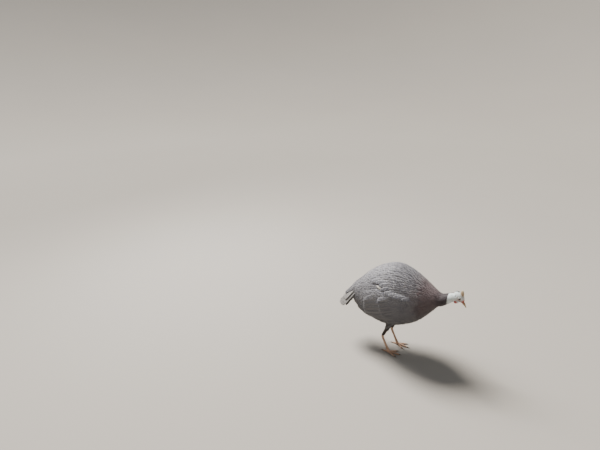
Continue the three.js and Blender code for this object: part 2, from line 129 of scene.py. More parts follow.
class Bench:
    """One material's nodes."""

    def __init__(self, name: str) -> None:
        """Starts an empty node material."""
        self.material = bpy.data.materials.new(name)
        self.material.use_nodes = True
        self.nodes = self.material.node_tree.nodes
        self.links = self.material.node_tree.links
        self.nodes.clear()

    def node(self, kind: str, settings: dict[str, Any], inputs: dict[Any, Any], output: Any = 0) -> Wire:
        """Adds one node.

        Args:
            kind: The node's type.
            settings: Its own settings, set before its sockets.
            inputs: Values or wires, by socket name or number.
            output: Which of its outputs to return.

        Returns:
            The chosen output as a wire.
        """
        made = self.nodes.new(kind)
        for key, value in settings.items():
            setattr(made, key, value)
        for key, value in inputs.items():
            if isinstance(value, Wire):
                self.links.new(value.socket, made.inputs[key])
            else:
                made.inputs[key].default_value = value
        return Wire(self, made.outputs[output])

    def attribute(self, name: str) -> Wire:
        """A number that the mesh carries under a name."""
        return self.node("ShaderNodeAttribute", {"attribute_name": name}, {}, "Fac")

    def uv(self, name: str) -> tuple[Wire, Wire]:
        """The two directions of a named UV map."""
        place = self.node("ShaderNodeUVMap", {"uv_map": name}, {})
        split = self.node("ShaderNodeSeparateXYZ", {}, {0: place})
        return split, Wire(self, split.socket.node.outputs[1])

    def place(self, scale: Sequence[float] = (1, 1, 1)) -> Wire:
        """Object coordinates, stretched by a scale."""
        start = self.node("ShaderNodeTexCoord", {}, {}, "Object")
        return self.node("ShaderNodeMapping", {}, {"Vector": start, "Scale": tuple(scale)})

    def axis(self, letter: str) -> Wire:
        """One of the object's own coordinates, X, Y or Z."""
        return self.node("ShaderNodeSeparateXYZ", {}, {0: self.place()}, letter)

    def noise(self, scale: float, detail: float, where: Wire | None = None) -> Wire:
        """Soft noise over the piece."""
        vector = where or self.place()
        return self.node("ShaderNodeTexNoise", {}, {"Vector": vector, "Scale": scale, "Detail": detail})

    def cells(self, scale: float, feature: str) -> Wire:
        """Distance in a pattern of cells."""
        inputs = {"Vector": self.place(), "Scale": scale}
        return self.node("ShaderNodeTexVoronoi", {"feature": feature}, inputs, "Distance")

    def blend(self, first: Any, second: Any, share: Any) -> Wire:
        """A colour between two colours.

        Args:
            first: The colour at share 0.
            second: The colour at share 1.
            share: How far to the second.

        Returns:
            The colour as a wire.
        """
        made = self.nodes.new("ShaderNodeMix")
        made.data_type = "RGBA"
        made.clamp_factor = True
        for socket, value in ((made.inputs[0], share), (made.inputs[6], first), (made.inputs[7], second)):
            if isinstance(value, Wire):
                self.links.new(value.socket, socket)
            elif isinstance(value, tuple):
                socket.default_value = (*value, 1.0)
            else:
                socket.default_value = value
        return Wire(self, made.outputs[2])

    def finish(self, colour: Any, roughness: Any, height: Wire | None = None, depth: float = 0.0005,
               fixed: dict[str, Any] | None = None) -> bpy.types.Material:
        """Closes the material with its one shader.

        Args:
            colour: Its colour, a wire or three numbers.
            roughness: Its roughness, a wire or a number.
            height: A wire that raises the surface, if any.
            depth: How far, in metres, the height raises it.
            fixed: Numbers that are the same all over, by socket name.

        Returns:
            The material.
        """
        shader = self.nodes.new("ShaderNodeBsdfPrincipled")
        for name, value in (("Base Color", colour), ("Roughness", roughness)):
            if isinstance(value, Wire):
                self.links.new(value.socket, shader.inputs[name])
            else:
                shader.inputs[name].default_value = (*value, 1.0) if isinstance(value, tuple) else value
        for name, value in (fixed or {}).items():
            shader.inputs[name].default_value = value
        if height is not None:
            bump = self.node("ShaderNodeBump", {}, {"Height": height, "Distance": depth, "Strength": 1.0})
            self.links.new(bump.socket, shader.inputs["Normal"])
        output = self.nodes.new("ShaderNodeOutputMaterial")
        self.links.new(shader.outputs[0], output.inputs[0])
        return self.material


@dataclass(frozen=True)
class Plumage:
    """Feathers: slate ground with fine pale flecks and white pearls.

    The mesh says where the pearls fade, where the collar's colour takes over and where it is pale.
    Pitch, radius, start and web are in centimetres on the Vane map: across from the shaft, and back from
    the tip. Belly and neck are the heights and the places along the bird, in metres, between which painted
    shade darkens it: low on the body, where it is also the belly's own darker colour, and over the neck.
    The pearls dim under that painted shade too.
    """

    name: str
    ground: tuple[float, float, float] = (0.110, 0.110, 0.136)
    collar: tuple[float, float, float] = (0.160, 0.112, 0.114)
    fleck: tuple[float, float, float] = (0.34, 0.335, 0.36)
    pearl: tuple[float, float, float] = (0.74, 0.72, 0.69)
    down: tuple[float, float, float] = (0.80, 0.76, 0.70)
    pitch: float = 0.46
    radius: float = 0.078
    start: float = 0.12
    web: float = 0.0
    fringe: float = 0.42
    shadow: tuple[float, float, float] = (0.012, 0.012, 0.016)
    # Painted shade: how far the colour darkens low on the body, partly the belly's own darker colour, and
    # over the neck.
    belly: tuple[float, float] = (0.14, 0.37)
    belly_tone_and_painted_shade: float = 0.82
    neck: tuple[float, float] = (-0.165, -0.115)
    painted_neck_shade: float = 0.78

    def make(self) -> bpy.types.Material:
        """Builds the material."""
        bench = Bench(self.name)
        across, back = bench.uv("Vane")
        tone = bench.attribute("tone")
        pearls = bench.attribute("pearls")
        row = ((back - self.start) / self.pitch).apply("FLOOR")
        down = back - self.start - (row + 0.5) * self.pitch
        shift = (row % 2.0) * (self.pitch / 2) + (tone - 0.5) * (self.pitch * 0.6)
        step = (across + shift + self.pitch / 2) % self.pitch - self.pitch / 2
        distance = (step * step + down * down).apply("SQRT") + (bench.noise(260.0, 2.0) - 0.5) * 0.09
        reach = (pearls * 0.5 + 0.5) * (tone * 0.3 + 0.85) * self.radius
        spot = 1.0 - (distance - reach).smooth(0.0, 0.035)
        outward = across.apply("ABSOLUTE")
        if self.web:
            rib = 1.0 - (down.apply("ABSOLUTE") - self.radius * 0.7).smooth(0.0, 0.04)
            spot = spot.apply("MAXIMUM", rib * outward.smooth(self.web - 0.05, self.web + 0.1))
        inside = back.smooth(self.start - 0.05, self.start + 0.03)
        mask = spot * pearls.smooth(0.05, 0.5) * inside
        ring = distance.smooth(self.radius, self.radius + 0.09) * 0.4 + 0.6
        shaft = outward.smooth(0.0, 0.03) * 0.2 + 0.8
        fringe = (1.0 - back.smooth(0.0, 0.10)) * self.fringe
        # Painted shade, darker towards the belly (partly the underside's own darker colour) and over the
        # neck.
        belly = (1.0 - bench.axis("Z").smooth(*self.belly)) * self.belly_tone_and_painted_shade
        neck = (1.0 - bench.axis("Y").smooth(*self.neck)) * self.painted_neck_shade
        low = belly.apply("MAXIMUM", neck)
        ground = bench.blend(self.ground, self.collar, bench.attribute("collar"))
        flecked = bench.blend(ground, self.fleck, bench.noise(2300.0, 2.0).smooth(0.46, 0.66) * 0.34)
        lit = bench.blend(flecked, self.fleck, fringe)
        shade = (tone * 0.22 + 0.82) * ring * shaft * (1.0 - low)
        dark = bench.blend(self.shadow, lit, shade)
        pale = bench.blend(dark, self.down, bench.attribute("pale"))
        # The pearls dim where the painted shade lies.
        colour = bench.blend(pale, self.pearl, mask * (1.0 - low * 0.8))
        barb = ((back - outward * 0.7) * 160.0).apply("SINE") * 0.5 + 0.5
        fixed = {"Sheen Weight": 0.06, "Sheen Roughness": 0.5, "Specular IOR Level": 0.25}
        return bench.finish(colour, mask * 0.08 + 0.62, barb, 0.00010, fixed)


@dataclass(frozen=True)
class BareSkin:
    """Skin: pale and wrinkled where it is bare, with the coat's markings where it is covered."""

    name: str
    pale: tuple[float, float, float]
    flush: tuple[float, float, float]
    # deep: near black on the face as painted shade in the ears, the gape and round the eyes; a darker red
    # on the wattles.
    deep: tuple[float, float, float]
    tan: tuple[float, float, float] = (0.30, 0.215, 0.145)
    slate: tuple[float, float, float] = (0.050, 0.051, 0.066)
    collar: tuple[float, float, float] = (0.090, 0.064, 0.068)
    pearl: tuple[float, float, float] = (0.50, 0.49, 0.47)
    wrinkle: float = 420.0

    def make(self) -> bpy.types.Material:
        """Builds the material.

        The mesh carries flush, deep and horny for its bare parts; deep is painted shade in the ear
        openings, the gape and the rim round each eye, and the darker red at a wattle's edge. Where it is
        covered, it has the coat's own markings, and carries covered, ruff and pearls.
        """
        bench = Bench(self.name)
        blotch = bench.noise(160.0, 4.0)
        folds = bench.noise(self.wrinkle, 5.0)
        pores = bench.cells(900.0, "F1")
        flush = bench.attribute("flush") + (blotch - 0.5) * 0.3
        ground = bench.blend(self.pale, self.flush, flush)
        tanned = bench.blend(ground, self.tan, bench.attribute("horny") * 0.85)
        crease = tuple(0.62 * part for part in self.pale)
        shaded = bench.blend(tanned, crease, folds.smooth(0.52, 0.72) * 0.5)
        # deep paints shade into the ears, the gape and the eyes' rims, and the darker red edge of a
        # wattle.
        colour = bench.blend(shaded, self.deep, bench.attribute("deep"))
        bare = bench.blend(colour, tuple(0.6 * part for part in self.pale), blotch.smooth(0.5, 0.8) * 0.3)
        spots = 1.0 - bench.cells(215.0, "F1").smooth(0.16, 0.24)
        under = bench.blend(self.slate, self.collar, bench.attribute("ruff"))
        marked = bench.blend(under, self.pearl, spots * bench.attribute("pearls"))
        mottled = bench.blend(bare, marked, bench.attribute("covered"))
        fixed = {"Subsurface Weight": 0.08, "Subsurface Radius": (0.004, 0.0015, 0.001),
                 "Subsurface Scale": 0.4, "Specular IOR Level": 0.4}
        return bench.finish(mottled, folds * 0.2 + 0.45, folds + pores * 0.6, 0.0004, fixed)


@dataclass(frozen=True)
class Horn:
    """Horn: pale at one end and dark at the other, with growth lines."""

    name: str
    root: tuple[float, float, float]
    tip: tuple[float, float, float]
    # Near black: painted shade inside the nostrils.
    painted_hole_shade: tuple[float, float, float] = (0.02, 0.012, 0.01)
    lines: float = 500.0
    gloss: float = 0.38

    def make(self) -> bpy.types.Material:
        """Builds the material; the mesh carries reach, 0 at the root and 1 at the tip, and hole, where
        painted shade darkens a nostril's hollow.
        """
        bench = Bench(self.name)
        streak = bench.noise(self.lines, 4.0, bench.place((1.0, 1.0, 0.25)))
        reach = bench.attribute("reach")
        ground = bench.blend(self.root, self.tip, (reach + (streak - 0.5) * 0.4).smooth(0.1, 0.95))
        # Painted shade in the nostrils' hollows.
        dark = bench.blend(ground, self.painted_hole_shade, bench.attribute("hole"))
        worn = bench.blend(dark, tuple(0.5 * part for part in self.root), streak.smooth(0.55, 0.75) * 0.35)
        layers = ((reach * 70.0) + streak * 3.0).apply("SINE") * 0.2 + streak
        return bench.finish(worn, streak * 0.25 + self.gloss, layers, 0.00025, {"Specular IOR Level": 0.5})


@dataclass(frozen=True)
class ScaledSkin:
    """The bare leg: horny skin with plates in front and small scales elsewhere."""

    name: str
    plate: tuple[float, float, float] = (0.56, 0.36, 0.25)
    gap: tuple[float, float, float] = (0.22, 0.13, 0.09)
    dust: tuple[float, float, float] = (0.46, 0.39, 0.31)

    def make(self) -> bpy.types.Material:
        """Builds the material; the mesh carries plate, 1 on a plate and 0 in a gap."""
        bench = Bench(self.name)
        edge = bench.cells(420.0, "DISTANCE_TO_EDGE").smooth(0.02, 0.16)
        grain = bench.noise(700.0, 4.0)
        plate = bench.attribute("plate")
        scale = (edge * 0.6 + 0.4) * plate
        colour = bench.blend(self.gap, self.plate, scale * (grain * 0.5 + 0.7))
        dusty = bench.blend(colour, self.dust, grain.smooth(0.5, 0.75) * 0.35)
        return bench.finish(dusty, grain * 0.25 + 0.45, edge * 0.6 + grain * 0.3, 0.0003,
                            {"Specular IOR Level": 0.4})


@dataclass(frozen=True)
class WetEye:
    """The eye: a dark brown iris round a black pupil under a clear wet front."""

    name: str = "wet_eye"
    iris: tuple[float, float, float] = (0.050, 0.020, 0.009)
    ring: tuple[float, float, float] = (0.012, 0.006, 0.004)
    black: tuple[float, float, float] = (0.002, 0.002, 0.002)
    pupil: float = 0.50

    def make(self) -> bpy.types.Material:
        """Builds the material; the mesh carries turn, 0 at the middle of the front."""
        bench = Bench(self.name)
        turn = bench.attribute("turn")
        rays = bench.noise(1400.0, 4.0)
        iris = bench.blend(self.iris, self.ring, turn.smooth(0.75, 1.0) + rays * 0.3)
        colour = bench.blend(self.black, iris, turn.smooth(self.pupil, self.pupil + 0.06))
        fixed = {"Coat Weight": 1.0, "Coat Roughness": 0.02, "Specular IOR Level": 0.5}
        return bench.finish(colour, 0.12, rays, 0.00002, fixed)


@dataclass(frozen=True)
class StudioFloor:
    """The plain pale floor."""

    name: str = "pale_floor"
    colour: tuple[float, float, float] = (0.34, 0.318, 0.288)

    def make(self) -> bpy.types.Material:
        """Builds the material."""
        bench = Bench(self.name)
        cloud = bench.noise(0.8, 2.0)
        shaded = bench.blend(self.colour, tuple(0.94 * part for part in self.colour), cloud)
        return bench.finish(shaded, 0.9)


def link(name: str, mesh: bpy.types.Mesh, material: bpy.types.Material) -> bpy.types.Object:
    """Puts a mesh in the scene as one smooth piece with one finish.

    Args:
        name: The piece's name.
        mesh: Its mesh.
        material: Its finish.

    Returns:
        The piece.
    """
    piece = bpy.data.objects.new(name, mesh)
    bpy.context.scene.collection.objects.link(piece)
    mesh.materials.clear()
    mesh.materials.append(material)
    mesh.shade_smooth()
    return piece


def seat(mesh: bpy.types.Mesh, finish: bpy.types.Material, slot: str, *nodes: str) -> None:
    """Makes a mesh a piece of the bird, under the mesh's own name.

    Args:
        mesh: Its finished mesh.
        finish: Its material.
        slot: The record's slot that it belongs to; not used.
        nodes: The nodes that it stands for.
    """
    piece = link(mesh.name, mesh, finish)
    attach(piece, BODY)
    if nodes:
        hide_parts(*nodes)
    triangles = sum(len(face.vertices) - 2 for face in piece.data.polygons)
    LOG.info("%s: %d triangles", piece.name, triangles)


def mesh_from(shape: bmesh.types.BMesh, name: str) -> bpy.types.Mesh:
    """Turns a finished bmesh into a mesh and frees it."""
    mesh = bpy.data.meshes.new(name)
    shape.to_mesh(mesh)
    shape.free()
    return mesh


def middle_of(node: str) -> Vector:
    """The middle of a node's box."""
    low, high = (Vector(corner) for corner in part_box(node))
    return (low + high) / 2


def bump(values: Array, width: float) -> Array:
    """A soft hill, 1 where the values are 0."""
    return np.exp(-((values / width) ** 2))


def ramp(values: Array, width: float) -> Array:
    """A straight rise from 0 at nothing to 1 at the width."""
    return np.clip(values / width, 0, 1)


def resample(reach: Array | float, run: Array, line: Array) -> Array:
    """Points of a line at given distances, where run is the distance of each of its own points."""
    return np.stack([np.interp(reach, run, line[:, k]) for k in range(3)], axis=-1)


def carry(mesh: bpy.types.Mesh, name: str, values: Array) -> None:
    """Gives each vertex of a mesh a named number."""
    layer = mesh.attributes.new(name, "FLOAT", "POINT")
    layer.data.foreach_set("value", np.asarray(values, dtype=np.float32).ravel())


def points_of(mesh: bpy.types.Mesh) -> Array:
    """The vertices of a mesh as rows."""
    flat = np.empty(3 * len(mesh.vertices), dtype=np.float32)
    mesh.vertices.foreach_get("co", flat)
    return flat.reshape(-1, 3).astype(float)


def normals_of(mesh: bpy.types.Mesh) -> Array:
    """The vertex normals of a mesh as rows."""
    flat = np.empty(3 * len(mesh.vertices), dtype=np.float32)
    mesh.vertex_normals.foreach_get("vector", flat)
    return flat.reshape(-1, 3).astype(float)


def move_points(mesh: bpy.types.Mesh, points: Array) -> None:
    """Sets every vertex of a mesh."""
    mesh.vertices.foreach_set("co", points.astype(np.float32).ravel())
    mesh.update()


def soft_copy(name: str, nodes: Iterable[str], voxel: float, rounds: int) -> bpy.types.Mesh:
    """A closed smooth mesh round copies of several nodes.

    Args:
        name: The mesh's name.
        nodes: The nodes to copy and join.
        voxel: The size of the new faces, in metres.
        rounds: How many times the surface is smoothed.

    Returns:
        The largest closed surface as one mesh.
    """
    shape = bmesh.new()
    for node in nodes:
        shape.from_mesh(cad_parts[node].data)
    bmesh.ops.remove_doubles(shape, verts=shape.verts, dist=1e-6)
    joined = mesh_from(shape, name + "_joined")
    holder = bpy.data.objects.new(name + "_holder", joined)
    bpy.context.scene.collection.objects.link(holder)
    remesh = holder.modifiers.new("skin", "REMESH")
    remesh.mode = "VOXEL"
    remesh.voxel_size = voxel
    smooth = holder.modifiers.new("soften", "SMOOTH")
    smooth.factor = 0.5
    smooth.iterations = rounds
    graph = bpy.context.evaluated_depsgraph_get()
    mesh = bpy.data.meshes.new_from_object(holder.evaluated_get(graph))
    mesh.name = name
    bpy.data.objects.remove(holder)
    bpy.data.meshes.remove(joined)
    keep_largest(mesh)
    return mesh


def keep_largest(mesh: bpy.types.Mesh) -> None:
    """Deletes every closed surface of a mesh but the largest.

    Args:
        mesh: The mesh to change.
    """
    shape = bmesh.new()
    shape.from_mesh(mesh)
    shape.verts.ensure_lookup_table()
    group = np.full(len(shape.verts), -1)
    count = 0
    for seed in shape.verts:
        if group[seed.index] >= 0:
            continue
        pending = [seed]
        group[seed.index] = count
        while pending:
            vertex = pending.pop()
            for edge in vertex.link_edges:
                other = edge.other_vert(vertex)
                if group[other.index] < 0:
                    group[other.index] = count
                    pending.append(other)
        count += 1
    largest = np.bincount(group).argmax()
    loose = [vertex for vertex in shape.verts if group[vertex.index] != largest]
    bmesh.ops.delete(shape, geom=loose, context="VERTS")
    shape.to_mesh(mesh)
    shape.free()


def refine(mesh: bpy.types.Mesh, inside: Callable[[Vector], bool], rounds: int) -> None:
    """Splits the faces of one region of a mesh and rounds what it splits.

    Args:
        mesh: The mesh to change.
        inside: Says whether a point belongs to the region.
        rounds: How many times each edge is split in two.
    """
    shape = bmesh.new()
    shape.from_mesh(mesh)
    for _ in range(rounds):
        edges = [edge for edge in shape.edges if all(inside(vertex.co) for vertex in edge.verts)]
        bmesh.ops.subdivide_edges(shape, edges=edges, cuts=1, use_grid_fill=True)
        near = [vertex for vertex in shape.verts if inside(vertex.co)]
        bmesh.ops.smooth_vert(shape, verts=near, factor=0.5,
                              use_axis_x=True, use_axis_y=True, use_axis_z=True)
    shape.to_mesh(mesh)
    shape.free()


def wall(mesh: bpy.types.Mesh) -> BVHTree:
    """A mesh as a surface that rays and nearest points are found on."""
    return BVHTree.FromPolygons([v.co[:] for v in mesh.vertices], [f.vertices[:] for f in mesh.polygons])


@dataclass(frozen=True)
class Unwrap:
    """An unwrap of the body's own shape, round and along its middle line."""

    low: float
    high: float
    middle: float
    margin: float = 0.02
    span: float = 0.95

    def __call__(self, points: Array) -> Array:
        """The place of each point on the unwrap, 0 to 1 both ways."""
        along = (points[:, 1] - self.low) / (self.high - self.low)
        around = 0.5 + np.arctan2(points[:, 0], points[:, 2] - self.middle) / (2 * math.pi)
        return self.margin + self.span * np.stack([around, np.clip(along, 0, 1)], axis=1)


@dataclass(frozen=True)
class VaneCut:
    """How a feather's vane is cut: its rows, its columns and how it narrows to both ends."""

    rows: int = 6
    columns: int = 5
    root: float = 0.30
    full: float = 0.40
    round_from: float = 0.62
    blunt: float = 0.16
    ragged: float = 0.10
    crowding: float = 1.35

    def shares(self) -> Array:
        """Where the rows lie, closer together towards the tip."""
        even = np.linspace(0, 1, self.rows)
        return 1 - (1 - even) ** self.crowding

    def width(self, shares: Array) -> Array:
        """Half width at each row as a share of the widest.

        Args:
            shares: Where the rows lie.

        Returns:
            A share for each row.
        """
        rise = np.clip(shares / self.full, 0, 1)
        start = self.root + (1 - self.root) * rise * rise * (3 - 2 * rise)
        end = np.clip((shares - self.round_from) / (1 - self.round_from), 0, 1)
        return start * np.sqrt(1 - (1 - self.blunt**2) * end * end)


@dataclass
class Feathers:
    """Feathers gathered for one mesh: spines, frames, sizes and what each one carries.

    A vane has half its thickness past its tip share.
    """

    cut: VaneCut
    thick: float = 0.25 * MM
    tip: float = 0.9
    spines: list[Array] = field(default_factory=list)
    normals: list[Array] = field(default_factory=list)
    half: list[float] = field(default_factory=list)
    long: list[float] = field(default_factory=list)
    camber: list[float] = field(default_factory=list)
    marks: list[tuple[float, float, float, float]] = field(default_factory=list)

    def add(self, spine: Array, normal: Array, half: float, camber: float,
            marks: tuple[float, float, float, float]) -> None:
        """Adds one feather.

        Args:
            spine: Points along its shaft, root first, one for each row.
            normal: The way its outer face looks at each of them.
            half: Its greatest half width.
            camber: How far its edges bend down, as a share of the half width.
            marks: Its tone, its pearls, its share of the collar's colour and how pale it is.
        """
        self.spines.append(spine)
        self.normals.append(normal)
        self.half.append(half)
        self.long.append(float(np.linalg.norm(np.diff(spine, axis=0), axis=1).sum()))
        self.camber.append(camber)
        self.marks.append(marks)

    def mesh(self, name: str, unwrap: Unwrap, draw: np.random.Generator) -> bpy.types.Mesh:
        """Joins every feather into one mesh of closed vanes.

        Args:
            name: The mesh's name.
            unwrap: Where each root lies on the skin's unwrap.
            draw: The seeded numbers that make the edges ragged.

        Returns:
            The mesh, with its Vane and OFBake maps and its four named numbers.
        """
        count, rows, columns = len(self.spines), self.cut.rows, self.cut.columns
        spine = np.stack(self.spines)
        normal = np.stack(self.normals)
        normal /= np.linalg.norm(normal, axis=2, keepdims=True)
        ahead = np.gradient(spine, axis=1)
        across = np.cross(normal, ahead)
        across /= np.linalg.norm(across, axis=2, keepdims=True) + 1e-12
        slip = ahead / np.linalg.norm(ahead, axis=2, keepdims=True)
        shares = self.cut.shares()
        share = shares[None, :, None]
        width = self.cut.width(shares)[None, :, None]
        half = np.array(self.half)[:, None, None]
        column = np.linspace(-1, 1, columns)[None, None, :]
        jag = 1 - self.cut.ragged * np.abs(column) ** 3 * draw.random((count, rows, columns))
        side = half * width * column * jag
        drop = np.array(self.camber)[:, None, None] * half * column**2 * width
        comb = self.cut.ragged * half * (draw.random((count, rows, columns)) - 0.5) * share
        outer = normal[:, :, None, :]
        middle = spine[:, :, None, :] + side[..., None] * across[:, :, None, :]
        middle = middle - drop[..., None] * outer + comb[..., None] * slip[:, :, None, :]
        thin = self.thick / 2 * np.where(shares > self.tip, 0.5, 1.0)[None, :, None, None]
        vertices = np.stack([middle + thin * outer, middle - thin * outer], axis=1).reshape(-1, 3)
        quads = self._quads(rows, columns)
        each = 2 * rows * columns
        faces = (quads[None] + each * np.arange(count)[:, None, None]).reshape(-1, 4)
        mesh = bpy.data.meshes.new(name)
        mesh.vertices.add(len(vertices))
        mesh.vertices.foreach_set("co", vertices.astype(np.float32).ravel())
        mesh.loops.add(faces.size)
        mesh.loops.foreach_set("vertex_index", faces.astype(np.int32).ravel())
        mesh.polygons.add(len(faces))
        mesh.polygons.foreach_set("loop_start", np.arange(0, faces.size, 4, dtype=np.int32))
        mesh.update(calc_edges=True)
        full = np.ones_like(side)
        back = (1 - share) * np.array(self.long)[:, None, None] * full
        vane = np.stack([side, back], axis=-1) / (10 * MM)
        root = unwrap(spine[:, 0, :])[:, None, None, :]
        patch = np.stack([0.5 + 0.5 * column * full, share * full], axis=-1)
        bake = np.stack([root + PATCH * patch] * 2, axis=1).reshape(-1, 2)
        vane = np.stack([vane] * 2, axis=1).reshape(-1, 2)
        for label, place in (("OFBake", bake), ("Vane", vane)):
            layer = mesh.uv_layers.new(name=label)
            layer.data.foreach_set("uv", place[faces.ravel()].astype(np.float32).ravel())
        for label, values in zip(("tone", "pearls", "collar", "pale"), np.array(self.marks).T):
            carry(mesh, label, np.repeat(values, each))
        mesh.validate()
        return mesh

    @staticmethod
    def _quads(rows: int, columns: int) -> Array:
        """The faces of one closed vane: its outer face, its inner face and its rim.

        Args:
            rows: Its rows of points.
            columns: Its columns of points.

        Returns:
            Four vertex numbers for each face.
        """
        def corner(face: int, row: int, column: int) -> int:
            """A vertex's number in its vane."""
            return (face * rows + row) * columns + column

        quads = []
        for r in range(rows - 1):
            for c in range(columns - 1):
                square = [(r, c), (r, c + 1), (r + 1, c + 1), (r + 1, c)]
                quads.append([corner(0, *place) for place in square])
                quads.append([corner(1, *place) for place in reversed(square)])
        ring = [(0, c) for c in range(columns)]
        ring += [(r, columns - 1) for r in range(1, rows)]
        ring += [(rows - 1, c) for c in reversed(range(columns - 1))]
        ring += [(r, 0) for r in reversed(range(1, rows - 1))]
        for first, second in zip(ring, ring[1:] + ring[:1]):
            quads.append([corner(1, *first), corner(1, *second), corner(0, *second), corner(0, *first)])
        return np.array(quads)


@dataclass(frozen=True)
class Tract:
    """One tract of body feathers: where it lies, how close they stand and how they look.

    Places along are from 0 at the head end of the axis to 1 at its other end, and turns are
    in degrees from straight up, to the bird's left.
    """

    name: str
    start: float
    end: float
    turns: tuple[float, float]
    columns: int
    step: float
    long: float
    sunk: float = 4.0 * MM
    lift: float = 1.1 * MM
    pearls: float = 1.0
    wide: float = 0.62
    camber: float = 0.07
    flank: bool = False


class Body:
    """The bird's outer shape, its skin, and the coat of feathers over it.

    No coat feather is rooted below BELLY. STATIONS rays look inwards from OUTSIDE for each row of
    feathers, LEAD is the step that finds a row's direction, and columns closer together than the
    CROWDED share of a step are thinned out. Past PEARLS_FROM the pearls come in over PEARLS_OVER.
    """

    FLESH = ("torso", "neck_lower", "neck_upper", "head", "wing_right", "wing_left",
             "thigh_right", "thigh_left")
    VOXEL = 2.4 * MM
    BELLY = 117 * MM
    STATIONS = 140
    OUTSIDE = 0.2
    LEAD = 6 * MM
    CROWDED = 0.62
    PEARLS_FROM = 0.066
    PEARLS_OVER = 0.06

    def __init__(self) -> None:
        """Joins copies of the flesh nodes into one closed shape to place feathers on."""
        self.low, self.high = (Vector(corner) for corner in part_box("torso"))
        self.shape = soft_copy("bird_skin", self.FLESH, self.VOXEL, 6)
        self.outer = wall(soft_copy("coat_form", (*self.FLESH, "tail"), self.VOXEL, 8))
        self.unwrap = Unwrap(low=-0.26, high=0.26, middle=0.24)
        self.draw = np.random.default_rng(SEED)
        front, rear = (Vector(corner).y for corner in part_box("neck_lower"))
        neck = middle_of("neck_lower").z
        self.axis = [
            Vector((0, front - 4 * MM, neck + 6 * MM)),
            Vector((0, rear, neck)),
            Vector((0, self.low.y + 0.08, 0.262)),
            Vector((0, 0.02, 0.245)),
            Vector((0, self.high.y - 0.06, 0.225)),
            Vector((0, self.high.y - 0.002, 0.206)),
            Vector((0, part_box("tail")[1][1] - 0.012, 0.168)),
        ]

    def axis_height(self, y: float) -> float:
        """How high the axis runs at a place along the bird."""
        return float(np.interp(y, [p.y for p in self.axis], [p.z for p in self.axis]))

    def axis_at(self, share: float) -> Vector:
        """A point of the axis, 0 at the head end and 1 at the tail end."""
        low = self.axis[0].y
        y = low + share * (self.axis[-1].y - low)
        return Vector((0, y, self.axis_height(y)))

    def meridian(self, turn: float, start: float, end: float) -> tuple[Array, Array]:
        """The line that a plane through the axis cuts on the bird.

        Args:
            turn: The plane's angle from straight up, in degrees.
            start: Where it starts along the axis.
            end: Where it ends.

        Returns:
            Its points, and the distance run from the start to each.
        """
        out = Vector((math.sin(math.radians(turn)), 0, math.cos(math.radians(turn))))
        points = []
        for share in np.linspace(start, end, self.STATIONS):
            far = self.axis_at(float(share)) + out * self.OUTSIDE
            place, _, _, _ = self.outer.ray_cast(far, -out)
            if place is not None:
                points.append(place[:])
        line = np.array(points)
        run = np.concatenate([[0], np.cumsum(np.linalg.norm(np.diff(line, axis=0), axis=1))])
        return line, run

    def trail(self, root: Array, heading: Array, length: float, rows: int) -> tuple[Array, Array]:
        """A path that follows the bird's surface.

        Args:
            root: Where it starts.
            heading: Which way it starts.
            length: How long it is.
            rows: How many points it has.

        Returns:
            Its points on the surface and the normals there.
        """
        place = Vector(root)
        way = Vector(heading).normalized()
        spots = []
        faces = []
        for _ in range(rows):
            found, normal, _, _ = self.outer.find_nearest(place)
            spots.append(found[:])
            faces.append(normal[:])
            way = (way - normal * way.dot(normal)).normalized()
            place = found + way * (length / (rows - 1))
        return np.array(spots), np.array(faces)

    def coat(self, tract: Tract, cut: VaneCut, finish: bpy.types.Material) -> None:
        """Lays one tract's feathers in rows, each over the next.

        Args:
            tract: Where the feathers lie and how they look.
            cut: How each vane is cut.
            finish: Their material.
        """
        feathers = Feathers(cut)
        shares = cut.shares()
        turns = np.linspace(*tract.turns, tract.columns)
        spread = math.radians(abs(turns[1] - turns[0]))
        for column, turn in enumerate(turns):
            line, run = self.meridian(float(turn), tract.start, tract.end)
            for row in range(int(run[-1] / tract.step)):
                reach = (row + 0.5 * (column % 2)) * tract.step + self.draw.normal(0, 0.10) * tract.step
                spot = resample(reach, run, line)
                ahead = resample(reach + self.LEAD, run, line) - spot
                if reach + self.LEAD > run[-1]:
                    ahead = line[-1] - line[-4]
                apart = math.hypot(spot[0], spot[2] - self.axis_height(spot[1])) * spread
                level = 1
                while apart < self.CROWDED * tract.step and level < 8:
                    level *= 2
                    apart *= 2
                hidden = tract.flank and self.under_wing(spot)
                if column % level or hidden or spot[2] < self.BELLY:
                    continue
                self._lay(feathers, tract, shares, spot, ahead, apart)
        seat(feathers.mesh(tract.name, self.unwrap, self.draw), finish, "plumage")

    @staticmethod
    def under_wing(spot: Array) -> bool:
        """Whether a spot on the flank is well under the folded wing, inside a tilted oval.

        Args:
            spot: The spot.

        Returns:
            True where the wing hides it.
        """
        middle_along, middle_up, half_long, half_high, rise = -26, 218, 88, 46, 8
        ahead = (-spot[1] / MM - FORE - middle_along) / half_long
        up = (spot[2] / MM - middle_up - rise * ahead) / half_high
        return ahead * ahead + up * up < 1

    def fade(self, y: float) -> float:
        """How far the pearls have come in, 0 on the collar and 1 behind the breast."""
        share = 0.5 + (y - self.low.y - self.PEARLS_FROM) / self.PEARLS_OVER
        return float(np.clip(share + self.draw.normal(0, 0.12), 0, 1))

